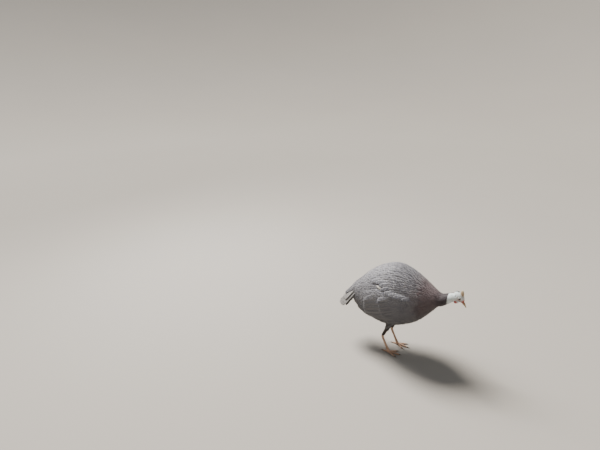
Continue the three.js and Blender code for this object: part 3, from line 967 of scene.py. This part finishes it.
    def _lay(self, feathers: Feathers, tract: Tract, shares: Array, spot: Array, ahead: Array,
             apart: float) -> None:
        """Lays one body feather at a spot, its root under the coat and its tip just over it.

        Args:
            feathers: The mesh that it joins.
            tract: How its tract looks.
            shares: Where its rows lie.
            spot: Where it is rooted.
            ahead: Which way its row runs.
            apart: How far the next column is.
        """
        grown = tract.long * (1 + 0.08 * self.draw.normal())
        across = np.cross(ahead, [0, 0, 1.0])
        across /= np.linalg.norm(across) + 1e-9
        sway = ahead + np.linalg.norm(ahead) * across * self.draw.normal(0, 0.09)
        root = spot + across * apart * self.draw.normal(0, 0.11)
        path, normals = self.trail(root, sway, grown, len(shares))
        run = np.linspace(0, 1, len(shares))
        path = resample(shares, run, path)
        normals = resample(shares, run, normals)
        rise = -tract.sunk + (tract.sunk + tract.lift * self.draw.uniform(0.8, 1.2)) * shares ** 0.8
        fade = self.fade(float(spot[1])) if tract.pearls else 0.0
        half = min(tract.wide * apart, 0.5 * tract.long) * (1 + 0.05 * self.draw.normal())
        half = max(half, 0.30 * tract.step)
        feathers.add(path + rise[:, None] * normals, normals, half, tract.camber,
                     (self.draw.uniform(0, 1), tract.pearls * fade, 1 - fade, 0.0))

    def dress(self, finishes: dict[str, bpy.types.Material]) -> None:
        """Covers the body, the breast and the neck.

        Args:
            finishes: The materials by name.
        """
        tracts = (
            Tract("back_feathers", 0.09, 0.955, (-70, 70), 31, 8.2 * MM, 25 * MM),
            Tract("right_flank_feathers", 0.09, 0.90, (-128, -67), 14, 8.2 * MM, 25 * MM, flank=True),
            Tract("left_flank_feathers", 0.09, 0.90, (67, 128), 14, 8.2 * MM, 25 * MM, flank=True),
            Tract("belly_feathers", 0.09, 0.96, (125, 235), 23, 8.6 * MM, 27 * MM, lift=2.2 * MM),
            Tract("collar_feathers", 0.0, 0.19, (-180, 176), 54, 4.6 * MM, 17 * MM, sunk=3 * MM,
                  lift=0.8 * MM, pearls=0.0, camber=0.05),
        )
        for tract in tracts:
            self.coat(tract, VaneCut(), finishes["plumage"])


@dataclass(frozen=True)
class VaneTier:
    """One tier of a folded wing, its values given for its lowest vane and its highest."""

    count: int
    along: tuple[float, float]
    up: tuple[float, float]
    long: tuple[float, float]
    half: float
    slope: tuple[float, float]
    over: float


@dataclass(frozen=True)
class Drape:
    """A long shoulder feather: its length, its half width, how it falls and how pale it is."""

    long: float
    half: float
    fall: float
    pale: float = 0.0


@dataclass
class Wing:
    """A folded wing: tiers of flight feathers and coverts laid on the flank.

    Shoulder holds the tips of the shoulder feathers, along and up in millimetres. Each is rooted
    ROOTED ahead of its tip and above it.
    """

    ROOTED = (47, 20)
    SHOULDER = Drape(52.0, 8.4, -0.42)
    STRAY = Drape(36.0, 3.2, 0.5, pale=1.0)
    STRAY_ROOT = (-48, 290)
    SUNK = 3.0
    BEND = 0.16
    LEAN = 0.16

    side: Side
    body: Body
    tiers: tuple[VaneTier, ...] = (
        VaneTier(7, (22, 0), (180, 197), (168, 178), 9.0, (1, 3), 2.0),  # primaries
        VaneTier(13, (20, -46), (200, 282), (150, 104), 9.5, (6, 24), 2.6),  # secondaries
        VaneTier(13, (54, -8), (186, 286), (86, 70), 9.5, (4, 20), 3.4),  # greater coverts
        VaneTier(13, (72, 12), (186, 286), (58, 48), 8.5, (4, 18), 3.6),  # median coverts
        VaneTier(14, (86, 36), (190, 284), (42, 38), 7.5, (4, 16), 3.2),  # small coverts
        VaneTier(14, (98, 60), (196, 276), (32, 30), 6.5, (4, 16), 2.4),  # edge coverts
    )
    shoulder: tuple[tuple[float, float], ...] = (
        (24, 277), (8, 275), (-9, 274), (-28, 275), (-46, 279),
        (-60, 293), (-72, 307), (-92, 317), (-115, 322),
    )

    def build(self, finish: bpy.types.Material) -> None:
        """Lays every tier as one piece.

        Args:
            finish: The material of the wing's feathers.
        """
        feathers = Feathers(VaneCut(rows=11, round_from=0.82, full=0.25, ragged=0.05), thick=0.4 * MM)
        for tier in self.tiers:
            for index in range(tier.count):
                self._lay(feathers, tier, index)
        for along, up in self.shoulder:
            self._drape(feathers, along + self.ROOTED[0], up + self.ROOTED[1], self.SHOULDER)
        if self.side is Side.RIGHT:
            self._drape(feathers, *self.STRAY_ROOT, self.STRAY)
        mesh = feathers.mesh(f"{self.side.label}_wing_feathers", self.body.unwrap, self.body.draw)
        seat(mesh, finish, "wing")

    def _lay(self, feathers: Feathers, tier: VaneTier, index: int) -> None:
        """Lays one vane of a tier, lapping over the one below it.

        Args:
            feathers: The mesh that it joins.
            tier: Its tier.
            index: Its number, from the lowest.
        """
        draw = self.body.draw
        share = index / (tier.count - 1)

        def pick(pair: tuple[float, float]) -> float:
            """A value between the lowest vane's and the highest's."""
            return pair[0] + share * (pair[1] - pair[0])

        shares = feathers.cut.shares()
        long = pick(tier.long) * (1 + 0.02 * draw.normal())
        slope = math.radians(pick(tier.slope) + draw.normal(0, 0.6))
        spine = []
        normals = []
        for part in shares:
            bend = slope + self.BEND * part
            along = pick(tier.along) + FORE - long * part * math.cos(bend)
            up = pick(tier.up) - long * part * math.sin(bend)
            far = Vector((self.side.value * 0.3, -along * MM, up * MM))
            found, normal, _, _ = self.body.outer.ray_cast(far, Vector((-self.side.value, 0, 0)))
            if found is None:
                found, normal, _, _ = self.body.outer.find_nearest(Vector((0, -along * MM, up * MM)))
            over = -self.SUNK + (self.SUNK + tier.over * (1 - 0.85 * share * share)) * part**0.7
            spine.append((found + normal * over * MM)[:])
            normals.append(normal[:])
        faces = np.array(normals) + self.LEAN * np.array([0, 0, 1.0])
        fade = self.body.fade(float(spine[0][1]) + 0.5 * long * MM)
        feathers.add(np.array(spine), faces, tier.half * MM, 0.08,
                     (draw.uniform(0, 1), fade, 1 - fade, 0.0))

    def _drape(self, feathers: Feathers, along: float, up: float, kind: Drape) -> None:
        """Lays one long shoulder feather over the wing's upper edge, its tip lifted.

        Args:
            feathers: The mesh that it joins.
            along: Where it is rooted, forwards.
            up: How high it is rooted.
            kind: Its size and how it falls.
        """
        draw = self.body.draw
        near = Vector((self.side.value * 0.09, -(along + FORE) * MM, up * MM))
        root, _, _, _ = self.body.outer.find_nearest(near)
        shares = feathers.cut.shares()
        heading = np.array([0.0, 1.0, kind.fall + draw.normal(0, 0.05)])
        path, normals = self.body.trail(np.array(root[:]), heading, kind.long * MM, len(shares))
        rise = (-3.5 + 7.5 * shares ** 0.9) * MM
        feathers.add(path + rise[:, None] * normals, normals, kind.half * MM, 0.05,
                     (draw.uniform(0, 1), 1.0 - kind.pale, 0.0, kind.pale))


@dataclass(frozen=True)
class TailTier:
    """One tier of the tail: pairs of vanes that fan out from the middle, sizes in millimetres."""

    pairs: int
    start: float
    fan: float
    long: tuple[float, float]
    half: float
    level: float
    gap: float
    pale: float


@dataclass
class Tail:
    """The tail: its vanes laid like a low roof that hangs from the rump."""

    body: Body
    along: float = -140.0
    up: float = 318.0
    hang: float = math.radians(52)
    droop: float = 0.0052
    spacing: float = 3.4
    under: int = 110
    tiers: tuple[TailTier, ...] = (
        TailTier(8, 62.0, 14.0, (142.0, 118.0), 11.0, -3.4, 0.75, 0.18),
        TailTier(7, 70.0, 13.5, (104.0, 88.0), 10.5, 0.4, 0.55, 0.18),
        TailTier(5, 80.0, 13.0, (80.0, 70.0), 12.0, -16.5, 0.5, 0.05),
    )

    def place(self, side: float, back: float, level: float) -> Array:
        """A point of the tail in metres, from its own directions in millimetres.

        Args:
            side: How far to the left.
            back: How far down the tail.
            level: How far above its roof.

        Returns:
            The point.
        """
        rise = level - self.droop * side * side
        along = self.along + FORE - back * math.cos(self.hang) - rise * math.sin(self.hang)
        height = self.up - back * math.sin(self.hang) + rise * math.cos(self.hang)
        return np.array([side, -along, height]) * MM

    def build(self, finish: bpy.types.Material) -> None:
        """Lays the tail feathers and their coverts as one piece.

        Args:
            finish: The material of the tail's feathers.
        """
        cut = VaneCut(rows=10, round_from=0.8, full=0.25, ragged=0.05)
        feathers = Feathers(cut, thick=0.45 * MM)
        for tier in self.tiers:
            for pair in range(tier.pairs):
                for sign in (-1, 1):
                    self._vane(feathers, tier, pair, sign)
        for _ in range(self.under):
            self._under(feathers)
        mesh = feathers.mesh("tail_feathers", self.body.unwrap, self.body.draw)
        seat(mesh, finish, "wing", "tail")

    def _vane(self, feathers: Feathers, tier: TailTier, pair: int, sign: int) -> None:
        """Lays one vane of a tier, on the side that sign gives.

        Args:
            feathers: The mesh that it joins.
            tier: Its tier.
            pair: Its pair, from the middle.
            sign: Its side, 1 for the left.
        """
        draw = self.body.draw
        share = (pair + 0.5) / tier.pairs
        turn = math.radians(tier.fan * share + draw.normal(0, 0.4)) * sign
        fall = (tier.long[1] - tier.long[0]) * share * share
        reach = (tier.long[0] + fall) * (1 + 0.015 * draw.normal())
        height = tier.level - tier.gap * (2 * pair + (sign > 0))
        out = sign * self.spacing * (pair + 0.5)
        spine = np.array([self.place(out + reach * part * math.sin(turn),
                                     tier.start + reach * part * math.cos(turn), height)
                          for part in feathers.cut.shares()])
        face = np.array([4 * self.droop * out, math.sin(self.hang), math.cos(self.hang)])
        normals = np.repeat(face[None], len(spine), axis=0)
        feathers.add(spine, normals, tier.half * MM, 0.12, (draw.uniform(0, 1), 0.9, 0.0, tier.pale))

    def _under(self, feathers: Feathers) -> None:
        """Lays one small feather under the tail's root, or none where the body isn't met.

        Args:
            feathers: The mesh that it joins.
        """
        draw = self.body.draw
        side = draw.normal(0, 12.0)
        root = Vector((side * MM, (178 - FORE) * MM, draw.uniform(168, 204) * MM))
        found, _, _, _ = self.body.outer.ray_cast(root + Vector((0, 0.12, 0)), Vector((0, -1, 0)))
        if found is None:
            return
        long = draw.uniform(15, 25) * MM
        way = Vector((0.01 * side, 0.50, -0.85 + draw.normal(0, 0.10))).normalized()
        start = Vector((root.x, min(found.y, (214 - FORE) * MM), root.z)) - way * 6 * MM
        sag = Vector((0, 0, -4 * MM))
        spine = np.array([(start + way * long * part + sag * part * part)[:]
                          for part in feathers.cut.shares()])
        face = np.array([0.4 * side / 15, 0.8, -0.5])
        normals = np.repeat(face[None], len(spine), axis=0)
        feathers.add(spine, normals, 5.5 * MM, 0.1,
                     (draw.uniform(0, 1), 0.3, 0.2, draw.uniform(0, 0.25)))


@dataclass(frozen=True)
class HeadFrame:
    """The head's own directions, found from the eyes and the bill."""

    centre: Vector
    side: Vector
    ahead: Vector
    up: Vector

    @classmethod
    def find(cls) -> "HeadFrame":
        """Reads the frame from where the eyes and the bill's tip are."""
        left, right = middle_of("eye_left"), middle_of("eye_right")
        bill = points_of(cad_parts["bill_upper"].data)
        middle = (left + right) / 2
        tip = Vector(max(bill, key=lambda point: (Vector(point) - middle).length))
        side = (left - right).normalized()
        ahead = tip - middle
        ahead = (ahead - side * ahead.dot(side)).normalized()
        ahead = (Matrix.Rotation(BILL_DROP, 3, side) @ ahead).normalized()
        return cls(middle, side, ahead, side.cross(ahead) * -1)

    def local(self, points: Array) -> Array:
        """Points as side, ahead and up distances from the middle between the eyes."""
        basis = np.array([self.side[:], self.ahead[:], self.up[:]])
        return (points - np.array(self.centre[:])) @ basis.T

    def world(self, side: float, ahead: float, up: float) -> Vector:
        """A point from its side, ahead and up distances."""
        return self.centre + self.side * side + self.ahead * ahead + self.up * up


def horn_piece(name: str, node: str, rounds: int, reach: Callable[[Array], Array],
               finish: bpy.types.Material, slot: str) -> bpy.types.Mesh:
    """A smooth hard piece in the shape of its node.

    Args:
        name: The piece's name.
        node: The node that it stands for.
        rounds: How often its surface is smoothed.
        reach: Gives how far towards the tip each point is.
        finish: Its material.
        slot: The record's slot that it belongs to.

    Returns:
        Its mesh.
    """
    mesh = soft_copy(name, (node,), HORN_VOXEL, rounds)
    points = points_of(mesh) + normals_of(mesh) * 0.35 * HORN_VOXEL
    move_points(mesh, points)
    carry(mesh, "reach", np.clip(reach(points), 0, 1))
    seat(mesh, finish, slot, node)
    return mesh


class Head:
    """The head: its skin's folds and lids, the eyes, the bill, the casque and the wattles.

    BRISTLES feathers stand on the nape over BRISTLED, a range behind the eyes in millimetres.
    """

    BRISTLES = 300
    BRISTLED = (-54, -17)
    BRISTLE_HALF = 0.28 * MM
    BULGE = 0.5 * MM
    BULGE_FROM = 0.72

    def __init__(self, body: Body) -> None:
        """Reads the head's frame and the eyes' size."""
        self.body = body
        self.frame = HeadFrame.find()
        low, high = (Vector(corner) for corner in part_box("eye_left"))
        self.radius = (high - low).x / 2

    def skin(self, finish: bpy.types.Material) -> None:
        """Shrinks the body's shape to the skin, forms the head's folds and dresses it all.

        Args:
            finish: The skin's material.
        """
        mesh = self.body.shape
        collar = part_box("neck_lower")[0][1]
        refine(mesh, lambda point: point.y < collar + 12 * MM and point.z > 0.2, 2)
        points = points_of(mesh)
        local = self.frame.local(points)
        bare = ramp(collar + 2 * MM - points[:, 1], 10 * MM)
        crown = bump(local[:, 1] + 6 * MM, 11 * MM) * bump(local[:, 0], 9 * MM)
        crown = crown * ramp(local[:, 2] - 6 * MM, 5 * MM)
        height, deep = self._folds(points, local, bare)
        sunk = 6 * MM * ramp(points[:, 1] - (collar + 4 * MM), 30 * MM)
        move_points(mesh, points + (height + MM * crown - sunk)[:, None] * normals_of(mesh))
        pearls = ramp(points[:, 1] - self.body.low.y - 40 * MM, 50 * MM)
        # deep is painted shade in the ear openings, the gape and round the eyes.
        for name, values in (
                ("flush", self._flush(local) * bare),
                ("horny", crown * bare),
                ("deep", deep * bare),
                ("covered", ramp(points[:, 1] - collar - 2 * MM, 8 * MM)),
                ("ruff", 1 - pearls),
                ("pearls", pearls)):
            carry(mesh, name, values)
        seat(mesh, finish, "face", *Body.FLESH)

    @staticmethod
    def _flush(local: Array) -> Array:
        """How red the face is, most of all over the bill's root.

        Args:
            local: Points from the middle between the eyes.

        Returns:
            A share from 0 to 1 for each.
        """
        ahead, up = local[:, 1], local[:, 2]
        face = bump(ahead - 4 * MM, 13 * MM) * bump(up + 2 * MM, 13 * MM)
        cheek = bump(ahead - 5 * MM, 6 * MM) * bump(up + 7 * MM, 6 * MM)
        return np.clip(0.22 * face + 0.5 * cheek + ramp(ahead - 9 * MM, 4 * MM), 0, 1)

    def _folds(self, points: Array, local: Array, bare: Array) -> tuple[Array, Array]:
        """The lids, ears, gape, brow and wrinkles.

        Args:
            points: The skin's points.
            local: The same points from the middle between the eyes.
            bare: How bare the skin is at each.

        Returns:
            How far each point stands out, and how much painted shade darkens it in the ears, the gape and
            at each eye's rim.
        """
        side, ahead, up = local.T
        height = np.zeros(len(points))
        deep = np.zeros(len(points))
        for eye in Side:
            centre = np.array(middle_of(f"eye_{eye.label}")[:])
            far = np.linalg.norm(points - centre, axis=1)
            height += 0.9 * MM * bump(far - self.radius * 1.16, 0.9 * MM)
            height -= 0.5 * MM * bump(far - self.radius * 1.75, 1.2 * MM)
            # Painted shade in the crease where the lid meets the eye.
            deep = np.maximum(deep, 0.35 * bump(far - self.radius, 0.7 * MM))
        wrinkles = np.sin(ahead / (1.5 * MM) + 0.8 * np.sin(up / (4 * MM)))
        height += 0.28 * MM * wrinkles * ramp(-ahead - 18 * MM, 10 * MM) * bare
        throat = ramp(-up - 6 * MM, 8 * MM) * bare
        height += 0.5 * MM * throat * np.sin(side / (1.3 * MM))
        ear = bump(ahead + 14 * MM, 2.4 * MM) * bump(up + 5 * MM, 2.4 * MM)
        gape = bump(up + 7.2 * MM, 0.7 * MM) * ramp(ahead, 4 * MM)
        brow = bump(up - 6.5 * MM, 1.3 * MM) * bump(ahead, 7 * MM)
        height += 0.7 * MM * brow - 1.2 * MM * ear - 0.7 * MM * gape
        # Painted shade in the sunk ear openings and along the sunk gape.
        return height, np.maximum(deep, np.maximum(0.8 * ear, 0.55 * gape))

    def eye(self, side: Side, finish: bpy.types.Material) -> None:
        """One eye with a slightly raised clear front.

        Args:
            side: Which eye.
            finish: Its material.
        """
        centre = middle_of(f"eye_{side.label}")
        out = self.frame.side * side.value
        shape = bmesh.new()
        bmesh.ops.create_uvsphere(shape, u_segments=48, v_segments=32, radius=self.radius * 0.99)
        turn = Vector((0, 0, 1)).rotation_difference(out).to_matrix()
        bmesh.ops.rotate(shape, verts=shape.verts, cent=(0, 0, 0), matrix=turn)
        for vertex in shape.verts:
            front = max(0.0, vertex.co.normalized().dot(out) - self.BULGE_FROM)
            vertex.co += out * self.BULGE * front / (1 - self.BULGE_FROM)
        bmesh.ops.translate(shape, verts=shape.verts, vec=centre)
        mesh = mesh_from(shape, f"{side.label}_eye")
        away = points_of(mesh) - np.array(centre[:])
        away /= np.linalg.norm(away, axis=1, keepdims=True)
        carry(mesh, "turn", np.arccos(np.clip(away @ np.array(out[:]), -1, 1)))
        seat(mesh, finish, "eye", f"eye_{side.label}")

    def hard_parts(self, finishes: dict[str, bpy.types.Material]) -> None:
        """The bill's two halves, with its nostrils, and the casque.

        Args:
            finishes: The materials by name.
        """
        def out_of_head(points: Array) -> Array:
            """How far towards the bill's tip."""
            return (self.frame.local(points)[:, 1] - 10 * MM) / (24 * MM)

        def over_head(points: Array) -> Array:
            """How far up the casque."""
            return (self.frame.local(points)[:, 2] - 12 * MM) / (16 * MM)

        upper = horn_piece("upper_bill", "bill_upper", 4, out_of_head, finishes["bill"], "bill")
        horn_piece("lower_bill", "bill_lower", 4, out_of_head, finishes["bill"], "bill")
        horn_piece("casque_horn", "casque", 5, over_head, finishes["horn"], "horn")
        points = points_of(upper)
        side, ahead, up = self.frame.local(points).T
        away = np.hypot((ahead - 15.5 * MM) / 1.7, up + 3.4 * MM)
        # The nostril is sunk a little and painted near black as the shade in its hole.
        nostril = bump(away, 1.0 * MM) * (np.abs(side) > 2 * MM)
        move_points(upper, points - (0.8 * MM * nostril)[:, None] * normals_of(upper))
        carry(upper, "hole", nostril)

    def wattle(self, side: Side, finish: bpy.types.Material) -> None:
        """One wattle, white at its root and red towards its edge, with soft folds.

        Args:
            side: Which wattle.
            finish: Its material.
        """
        node = f"wattle_{side.label}"
        mesh = soft_copy(f"{side.label}_wattle", (node,), HORN_VOXEL, 5)
        points = points_of(mesh)
        _, ahead, up = self.frame.local(points).T
        reach = (up.max() - up) / (up.max() - up.min())
        folds = np.sin(ahead / (0.9 * MM) + 2 * reach)
        swell = 0.25 * MM + 0.18 * MM * folds * reach
        move_points(mesh, points + swell[:, None] * normals_of(mesh))
        carry(mesh, "flush", np.clip(reach * 2.2 - 0.3, 0, 1))
        carry(mesh, "deep", np.clip((reach - 0.85) * 2, 0, 0.3))
        seat(mesh, finish, "wattle", node)

    def bristles(self, finish: bpy.types.Material) -> None:
        """The thin dark feathers that stand in a line down the nape.

        Args:
            finish: Their material.
        """
        draw = self.body.draw
        cut = VaneCut(rows=5, columns=3, root=0.8, blunt=0.1)
        feathers = Feathers(cut, thick=0.22 * MM)
        for _ in range(self.BRISTLES):
            back = draw.uniform(*self.BRISTLED) * MM
            root = self.frame.world(draw.normal(0, 2.4) * MM, back, 40 * MM)
            found, normal, _, _ = self.body.outer.ray_cast(root, -self.frame.up)
            if found is None:
                continue
            long = draw.uniform(3.0, 5.0) * MM
            sideways = self.frame.side * draw.normal(0, 0.3)
            way = (normal * 0.30 - self.frame.ahead + sideways).normalized()
            root = found - normal * MM
            sag = normal * long * 0.12
            spine = np.array([(root + way * long * part - sag * part * part)[:]
                              for part in cut.shares()])
            normals = np.repeat(np.array(normal[:])[None], len(spine), axis=0)
            feathers.add(spine, normals, self.BRISTLE_HALF, 0.0, (draw.uniform(0, 0.5), 0.0, 0.35, 0.0))
        seat(feathers.mesh("nape_bristles", self.body.unwrap, draw), finish, "neck")

    def build(self, finishes: dict[str, bpy.types.Material]) -> None:
        """Builds the whole head."""
        self.bristles(finishes["plumage"])
        self.skin(finishes["face"])
        self.hard_parts(finishes)
        for side in Side:
            self.eye(side, finishes["eye"])
            self.wattle(side, finishes["wattle"])


@dataclass(frozen=True)
class Toe:
    """One toe: its turn from straight ahead in degrees, its length and its half width."""

    turn: float
    long: float
    half: float


@dataclass
class Leg:
    """One leg: feathered thigh, scaled shank and toes, and claws.

    Sizes are in millimetres. The ball of the foot is apart from the middle and ball ahead, less
    step on the left side.
    """

    side: Side
    body: Body
    toes: tuple[Toe, ...] = (Toe(30, 33, 3.7), Toe(0, 43, 4.0), Toe(-30, 35, 3.7), Toe(172, 17, 3.2))
    toe_out: dict[Side, float] = field(default_factory=lambda: {Side.RIGHT: 6.0, Side.LEFT: 4.0})
    apart: float = 35
    ball: float = 33
    step: float = 11
    claw_long: float = 13.2
    claw_half: float = 2.75
    claw_drop: float = 0.9

    def build(self, finishes: dict[str, bpy.types.Material]) -> None:
        """Builds the whole leg."""
        self.thigh(finishes["thigh"])
        self.scales(finishes["leg"])
        self.claws(finishes["claw"])

    def thigh(self, finish: bpy.types.Material) -> None:
        """Short feathers that run down the thigh to the hock.

        Args:
            finish: Their material.
        """
        draw = self.body.draw
        points = points_of(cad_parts[f"thigh_{self.side.label}"].data)
        low, high = points[:, 2].min(), points[:, 2].max()
        feathers = Feathers(VaneCut())
        shares = feathers.cut.shares()
        rise = (-2.2 + 2.9 * shares) * MM

        def middle(height: float) -> Vector:
            """The middle of the thigh at a height."""
            near = points[np.abs(points[:, 2] - height) < 9 * MM]
            across, along = (near.min(axis=0) + near.max(axis=0))[:2] / 2
            return Vector((across, along, height))

        for row, height in enumerate(np.arange(high - 2 * MM, low + 4 * MM, -3.6 * MM)):
            centre = middle(float(height))
            for turn in np.arange(0, 2 * math.pi, math.radians(22)):
                angle = float(turn) + row * math.radians(13)
                out = Vector((math.cos(angle), math.sin(angle), 0))
                found, _, _, _ = self.body.outer.ray_cast(centre + out * MM, out)
                if found is None or (found - centre).length > 0.03:
                    continue
                long = draw.uniform(10, 14) * MM
                down = np.array([0, 0, -1.0])
                path, faces = self.body.trail(np.array(found[:]), down, long, len(shares))
                feathers.add(path + rise[:, None] * faces, faces, 2.7 * MM, 0.15,
                             (draw.uniform(0, 0.5), 0.0, 0.35, 0.0))
        seat(feathers.mesh(f"{self.side.label}_thigh_feathers", self.body.unwrap, draw), finish, "plumage")

    def claws(self, finish: bpy.types.Material) -> None:
        """The four claws as horn sheaths over the toes' ends, in one piece.

        Args:
            finish: Their material.
        """
        sign = self.side.value
        left_back = self.step if self.side is Side.LEFT else 0
        start = Vector((sign * self.apart * MM, (self.ball - left_back - FORE) * MM, 0))
        shape = bmesh.new()
        for toe in self.toes:
            turn = math.radians(toe.turn * -sign - self.toe_out[self.side] * sign)
            sphere = bmesh.ops.create_uvsphere(shape, u_segments=14, v_segments=12, radius=1.0)
            for vertex in sphere["verts"]:
                share = (1 + vertex.co.z) / 2
                ring = math.hypot(vertex.co.x, vertex.co.y)
                full = min(1.0, math.sqrt(7 * share)) * (1 - 0.88 * share)
                size = full * self.claw_half * MM if ring > 1e-4 else 0.0
                across = vertex.co.x / max(ring, 1e-4) * size
                ahead = (toe.long - 1.5 + self.claw_long * share) * MM
                level = (toe.half * 0.74 - 0.8 - self.claw_drop * share * share) * MM
                level = max(level + vertex.co.y / max(ring, 1e-4) * size, 0.05 * MM)
                vertex.co = start + Vector((across * math.cos(turn) + ahead * math.sin(turn),
                                            across * math.sin(turn) - ahead * math.cos(turn), level))
        bmesh.ops.recalc_face_normals(shape, faces=shape.faces)
        mesh = mesh_from(shape, f"{self.side.label}_claws")
        points = points_of(mesh)
        far = np.hypot(points[:, 0] - start.x, points[:, 1] - start.y)
        carry(mesh, "reach", np.clip((far / MM - 30) / 25, 0, 1))
        seat(mesh, finish, "horn")

    def scales(self, finish: bpy.types.Material) -> None:
        """The bare shank and foot as one skin with raised plates down its front.

        Args:
            finish: Its material.
        """
        nodes = (f"shank_{self.side.label}", f"foot_{self.side.label}")
        mesh = soft_copy(f"{self.side.label}_shank_and_foot", nodes, 0.9 * MM, 3)
        points = points_of(mesh)
        normals = normals_of(mesh)
        foremost = points[points[:, 2] > 12 * MM][:, 1].min()
        along_toe = np.hypot(points[:, 0] - middle_of(nodes[0]).x, points[:, 1] - foremost)
        on_toe = points[:, 2] < 9.5 * MM
        reach = np.where(on_toe, along_toe, points[:, 2])
        on_front = np.clip(-normals[:, 1] * 1.6 + 0.3, 0, 1)
        front = np.where(on_toe, np.clip(normals[:, 2] * 2, 0, 1), on_front)
        phase = (reach / np.where(on_toe, 2.9 * MM, 4.0 * MM)) % 1.0
        plate = np.exp(-(((phase - 0.5) / 0.43) ** 8))
        raised = np.where(points[:, 2] < 1.2 * MM, 0.0, 0.28 * MM * plate * front)
        move_points(mesh, points + raised[:, None] * normals)
        carry(mesh, "plate", 1 - front * (1 - plate) * 0.8)
        seat(mesh, finish, "leg", *nodes)


@dataclass
class Studio:
    """The pale floor with its sweep, the lights and the camera.

    Lengths are in metres. The camera is tilted down and turned from straight ahead, in degrees.
    The floor is flat as far as flat, then rises to high at its edge. Sky is the strength of the
    air's light. Each panel has its place, its size and its power.
    """

    lens: float = 27.18
    eye: tuple[float, float, float] = (-1.4907, -0.4557, 1.095)
    tilt: float = 20.56
    turn: float = -58.4
    flat: float = 5.0
    edge: float = 14.0
    high: float = 5.0
    sky: float = 0.26
    sun: float = 8.4
    sun_angle: float = 24
    sun_at: tuple[float, float, float] = (0.5, 1.5, 2.3)
    panels: tuple[tuple[str, tuple[float, float, float], float, float], ...] = (
        ("rim", (0.25, 1.5, 1.5), 0.7, 42.0),
        ("front", (0.6, -2.2, 1.7), 1.8, 7.0),
    )

    def build(self) -> None:
        """Sets the camera first, then the floor and the lights."""
        self.camera()
        self.floor()
        self.light()

    def camera(self) -> None:
        """The camera, 1.8 m from the bird and 1.1 m up."""
        data = bpy.data.cameras.new("camera")
        data.lens = self.lens
        data.sensor_width = 36
        eye = bpy.data.objects.new("camera", data)
        eye.location = (self.eye[0], self.eye[1] - FORE * MM, self.eye[2])
        eye.rotation_euler = (math.radians(90 - self.tilt), 0, math.radians(self.turn))
        bpy.context.scene.collection.objects.link(eye)
        bpy.context.scene.camera = eye

    def floor(self) -> None:
        """A round floor that sweeps up into a low wall."""
        shape = bmesh.new()
        rise = self.edge - self.flat
        profile = [(0.0, 0.0)]
        profile += [(float(far), self.high * ((far - self.flat) / rise) ** 2)
                    for far in np.linspace(self.flat, self.edge, 16)]
        points = [shape.verts.new((far, 0, up - 0.3 * MM)) for far, up in profile]
        edges = [shape.edges.new(pair) for pair in zip(points, points[1:])]
        bmesh.ops.spin(shape, geom=points + edges, cent=(0, 0, 0), axis=(0, 0, 1),
                       angle=2 * math.pi, steps=64, use_merge=True)
        bmesh.ops.remove_doubles(shape, verts=shape.verts, dist=1e-5)
        bmesh.ops.recalc_face_normals(shape, faces=shape.faces)
        link("floor", mesh_from(shape, "floor"), StudioFloor().make())

    def light(self) -> None:
        """A soft sun and a rim light from behind the bird, a weak front light and a pale sky."""
        world = bpy.data.worlds.new("studio_air")
        bpy.context.scene.world = world
        world.use_nodes = True
        air = world.node_tree.nodes["Background"]
        air.inputs["Color"].default_value = (0.86, 0.92, 1.0, 1.0)
        air.inputs["Strength"].default_value = self.sky
        sun = bpy.data.lights.new("key", "SUN")
        sun.energy = self.sun
        sun.angle = math.radians(self.sun_angle)
        sun.color = (1.0, 0.95, 0.88)
        self.aim("key", sun, self.sun_at)
        for name, place, size, power in self.panels:
            panel = bpy.data.lights.new(name, "AREA")
            panel.size = size
            panel.energy = power
            self.aim(name, panel, place)

    @staticmethod
    def aim(name: str, data: bpy.types.Light, place: tuple[float, float, float]) -> None:
        """Hangs a lamp at a place, turned to the bird.

        Args:
            name: The lamp's name.
            data: Its light.
            place: Where it hangs, in metres.
        """
        lamp = bpy.data.objects.new(name, data)
        lamp.location = place
        aim = Vector((0, 0, 0.2)) - Vector(place)
        lamp.rotation_euler = aim.to_track_quat("-Z", "Y").to_euler()
        bpy.context.scene.collection.objects.link(lamp)


def make_finishes() -> dict[str, bpy.types.Material]:
    """Builds every material by the name that the parts ask for."""
    pale = (0.55, 0.61, 0.61)
    kinds = {
        "plumage": Plumage("pearled_plumage"),
        "wing": Plumage("wing_plumage", (0.084, 0.086, 0.112), radius=0.080, pitch=0.54, web=0.72,
                        fringe=0.22),
        "thigh": Plumage("thigh_plumage", (0.16, 0.10, 0.062), (0.17, 0.10, 0.06), (0.26, 0.19, 0.13)),
        "face": BareSkin("bare_skin", pale, (0.42, 0.10, 0.07), (0.030, 0.028, 0.032)),
        "wattle": BareSkin("wattle_skin", pale, (0.36, 0.045, 0.032), (0.25, 0.02, 0.02)),
        "horn": Horn("casque_horn", (0.30, 0.20, 0.12), (0.50, 0.41, 0.27)),
        "bill": Horn("bill_horn", (0.34, 0.13, 0.07), (0.44, 0.35, 0.20)),
        "claw": Horn("claw_horn", (0.20, 0.13, 0.09), (0.10, 0.075, 0.06)),
        "leg": ScaledSkin("scaled_leg"),
        "eye": WetEye(),
    }
    return {name: kind.make() for name, kind in kinds.items()}


def main() -> None:
    """Builds the bird, piece by piece."""
    logging.basicConfig(level=logging.INFO, format="%(message)s")
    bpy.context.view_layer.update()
    Studio().build()
    finishes = make_finishes()
    body = Body()
    body.dress(finishes)
    for side in Side:
        Wing(side, body).build(finishes["wing"])
    Tail(body).build(finishes["wing"])
    for side in Side:
        Leg(side, body).build(finishes)
    Head(body).build(finishes)


if __name__ == "__main__":
    main()
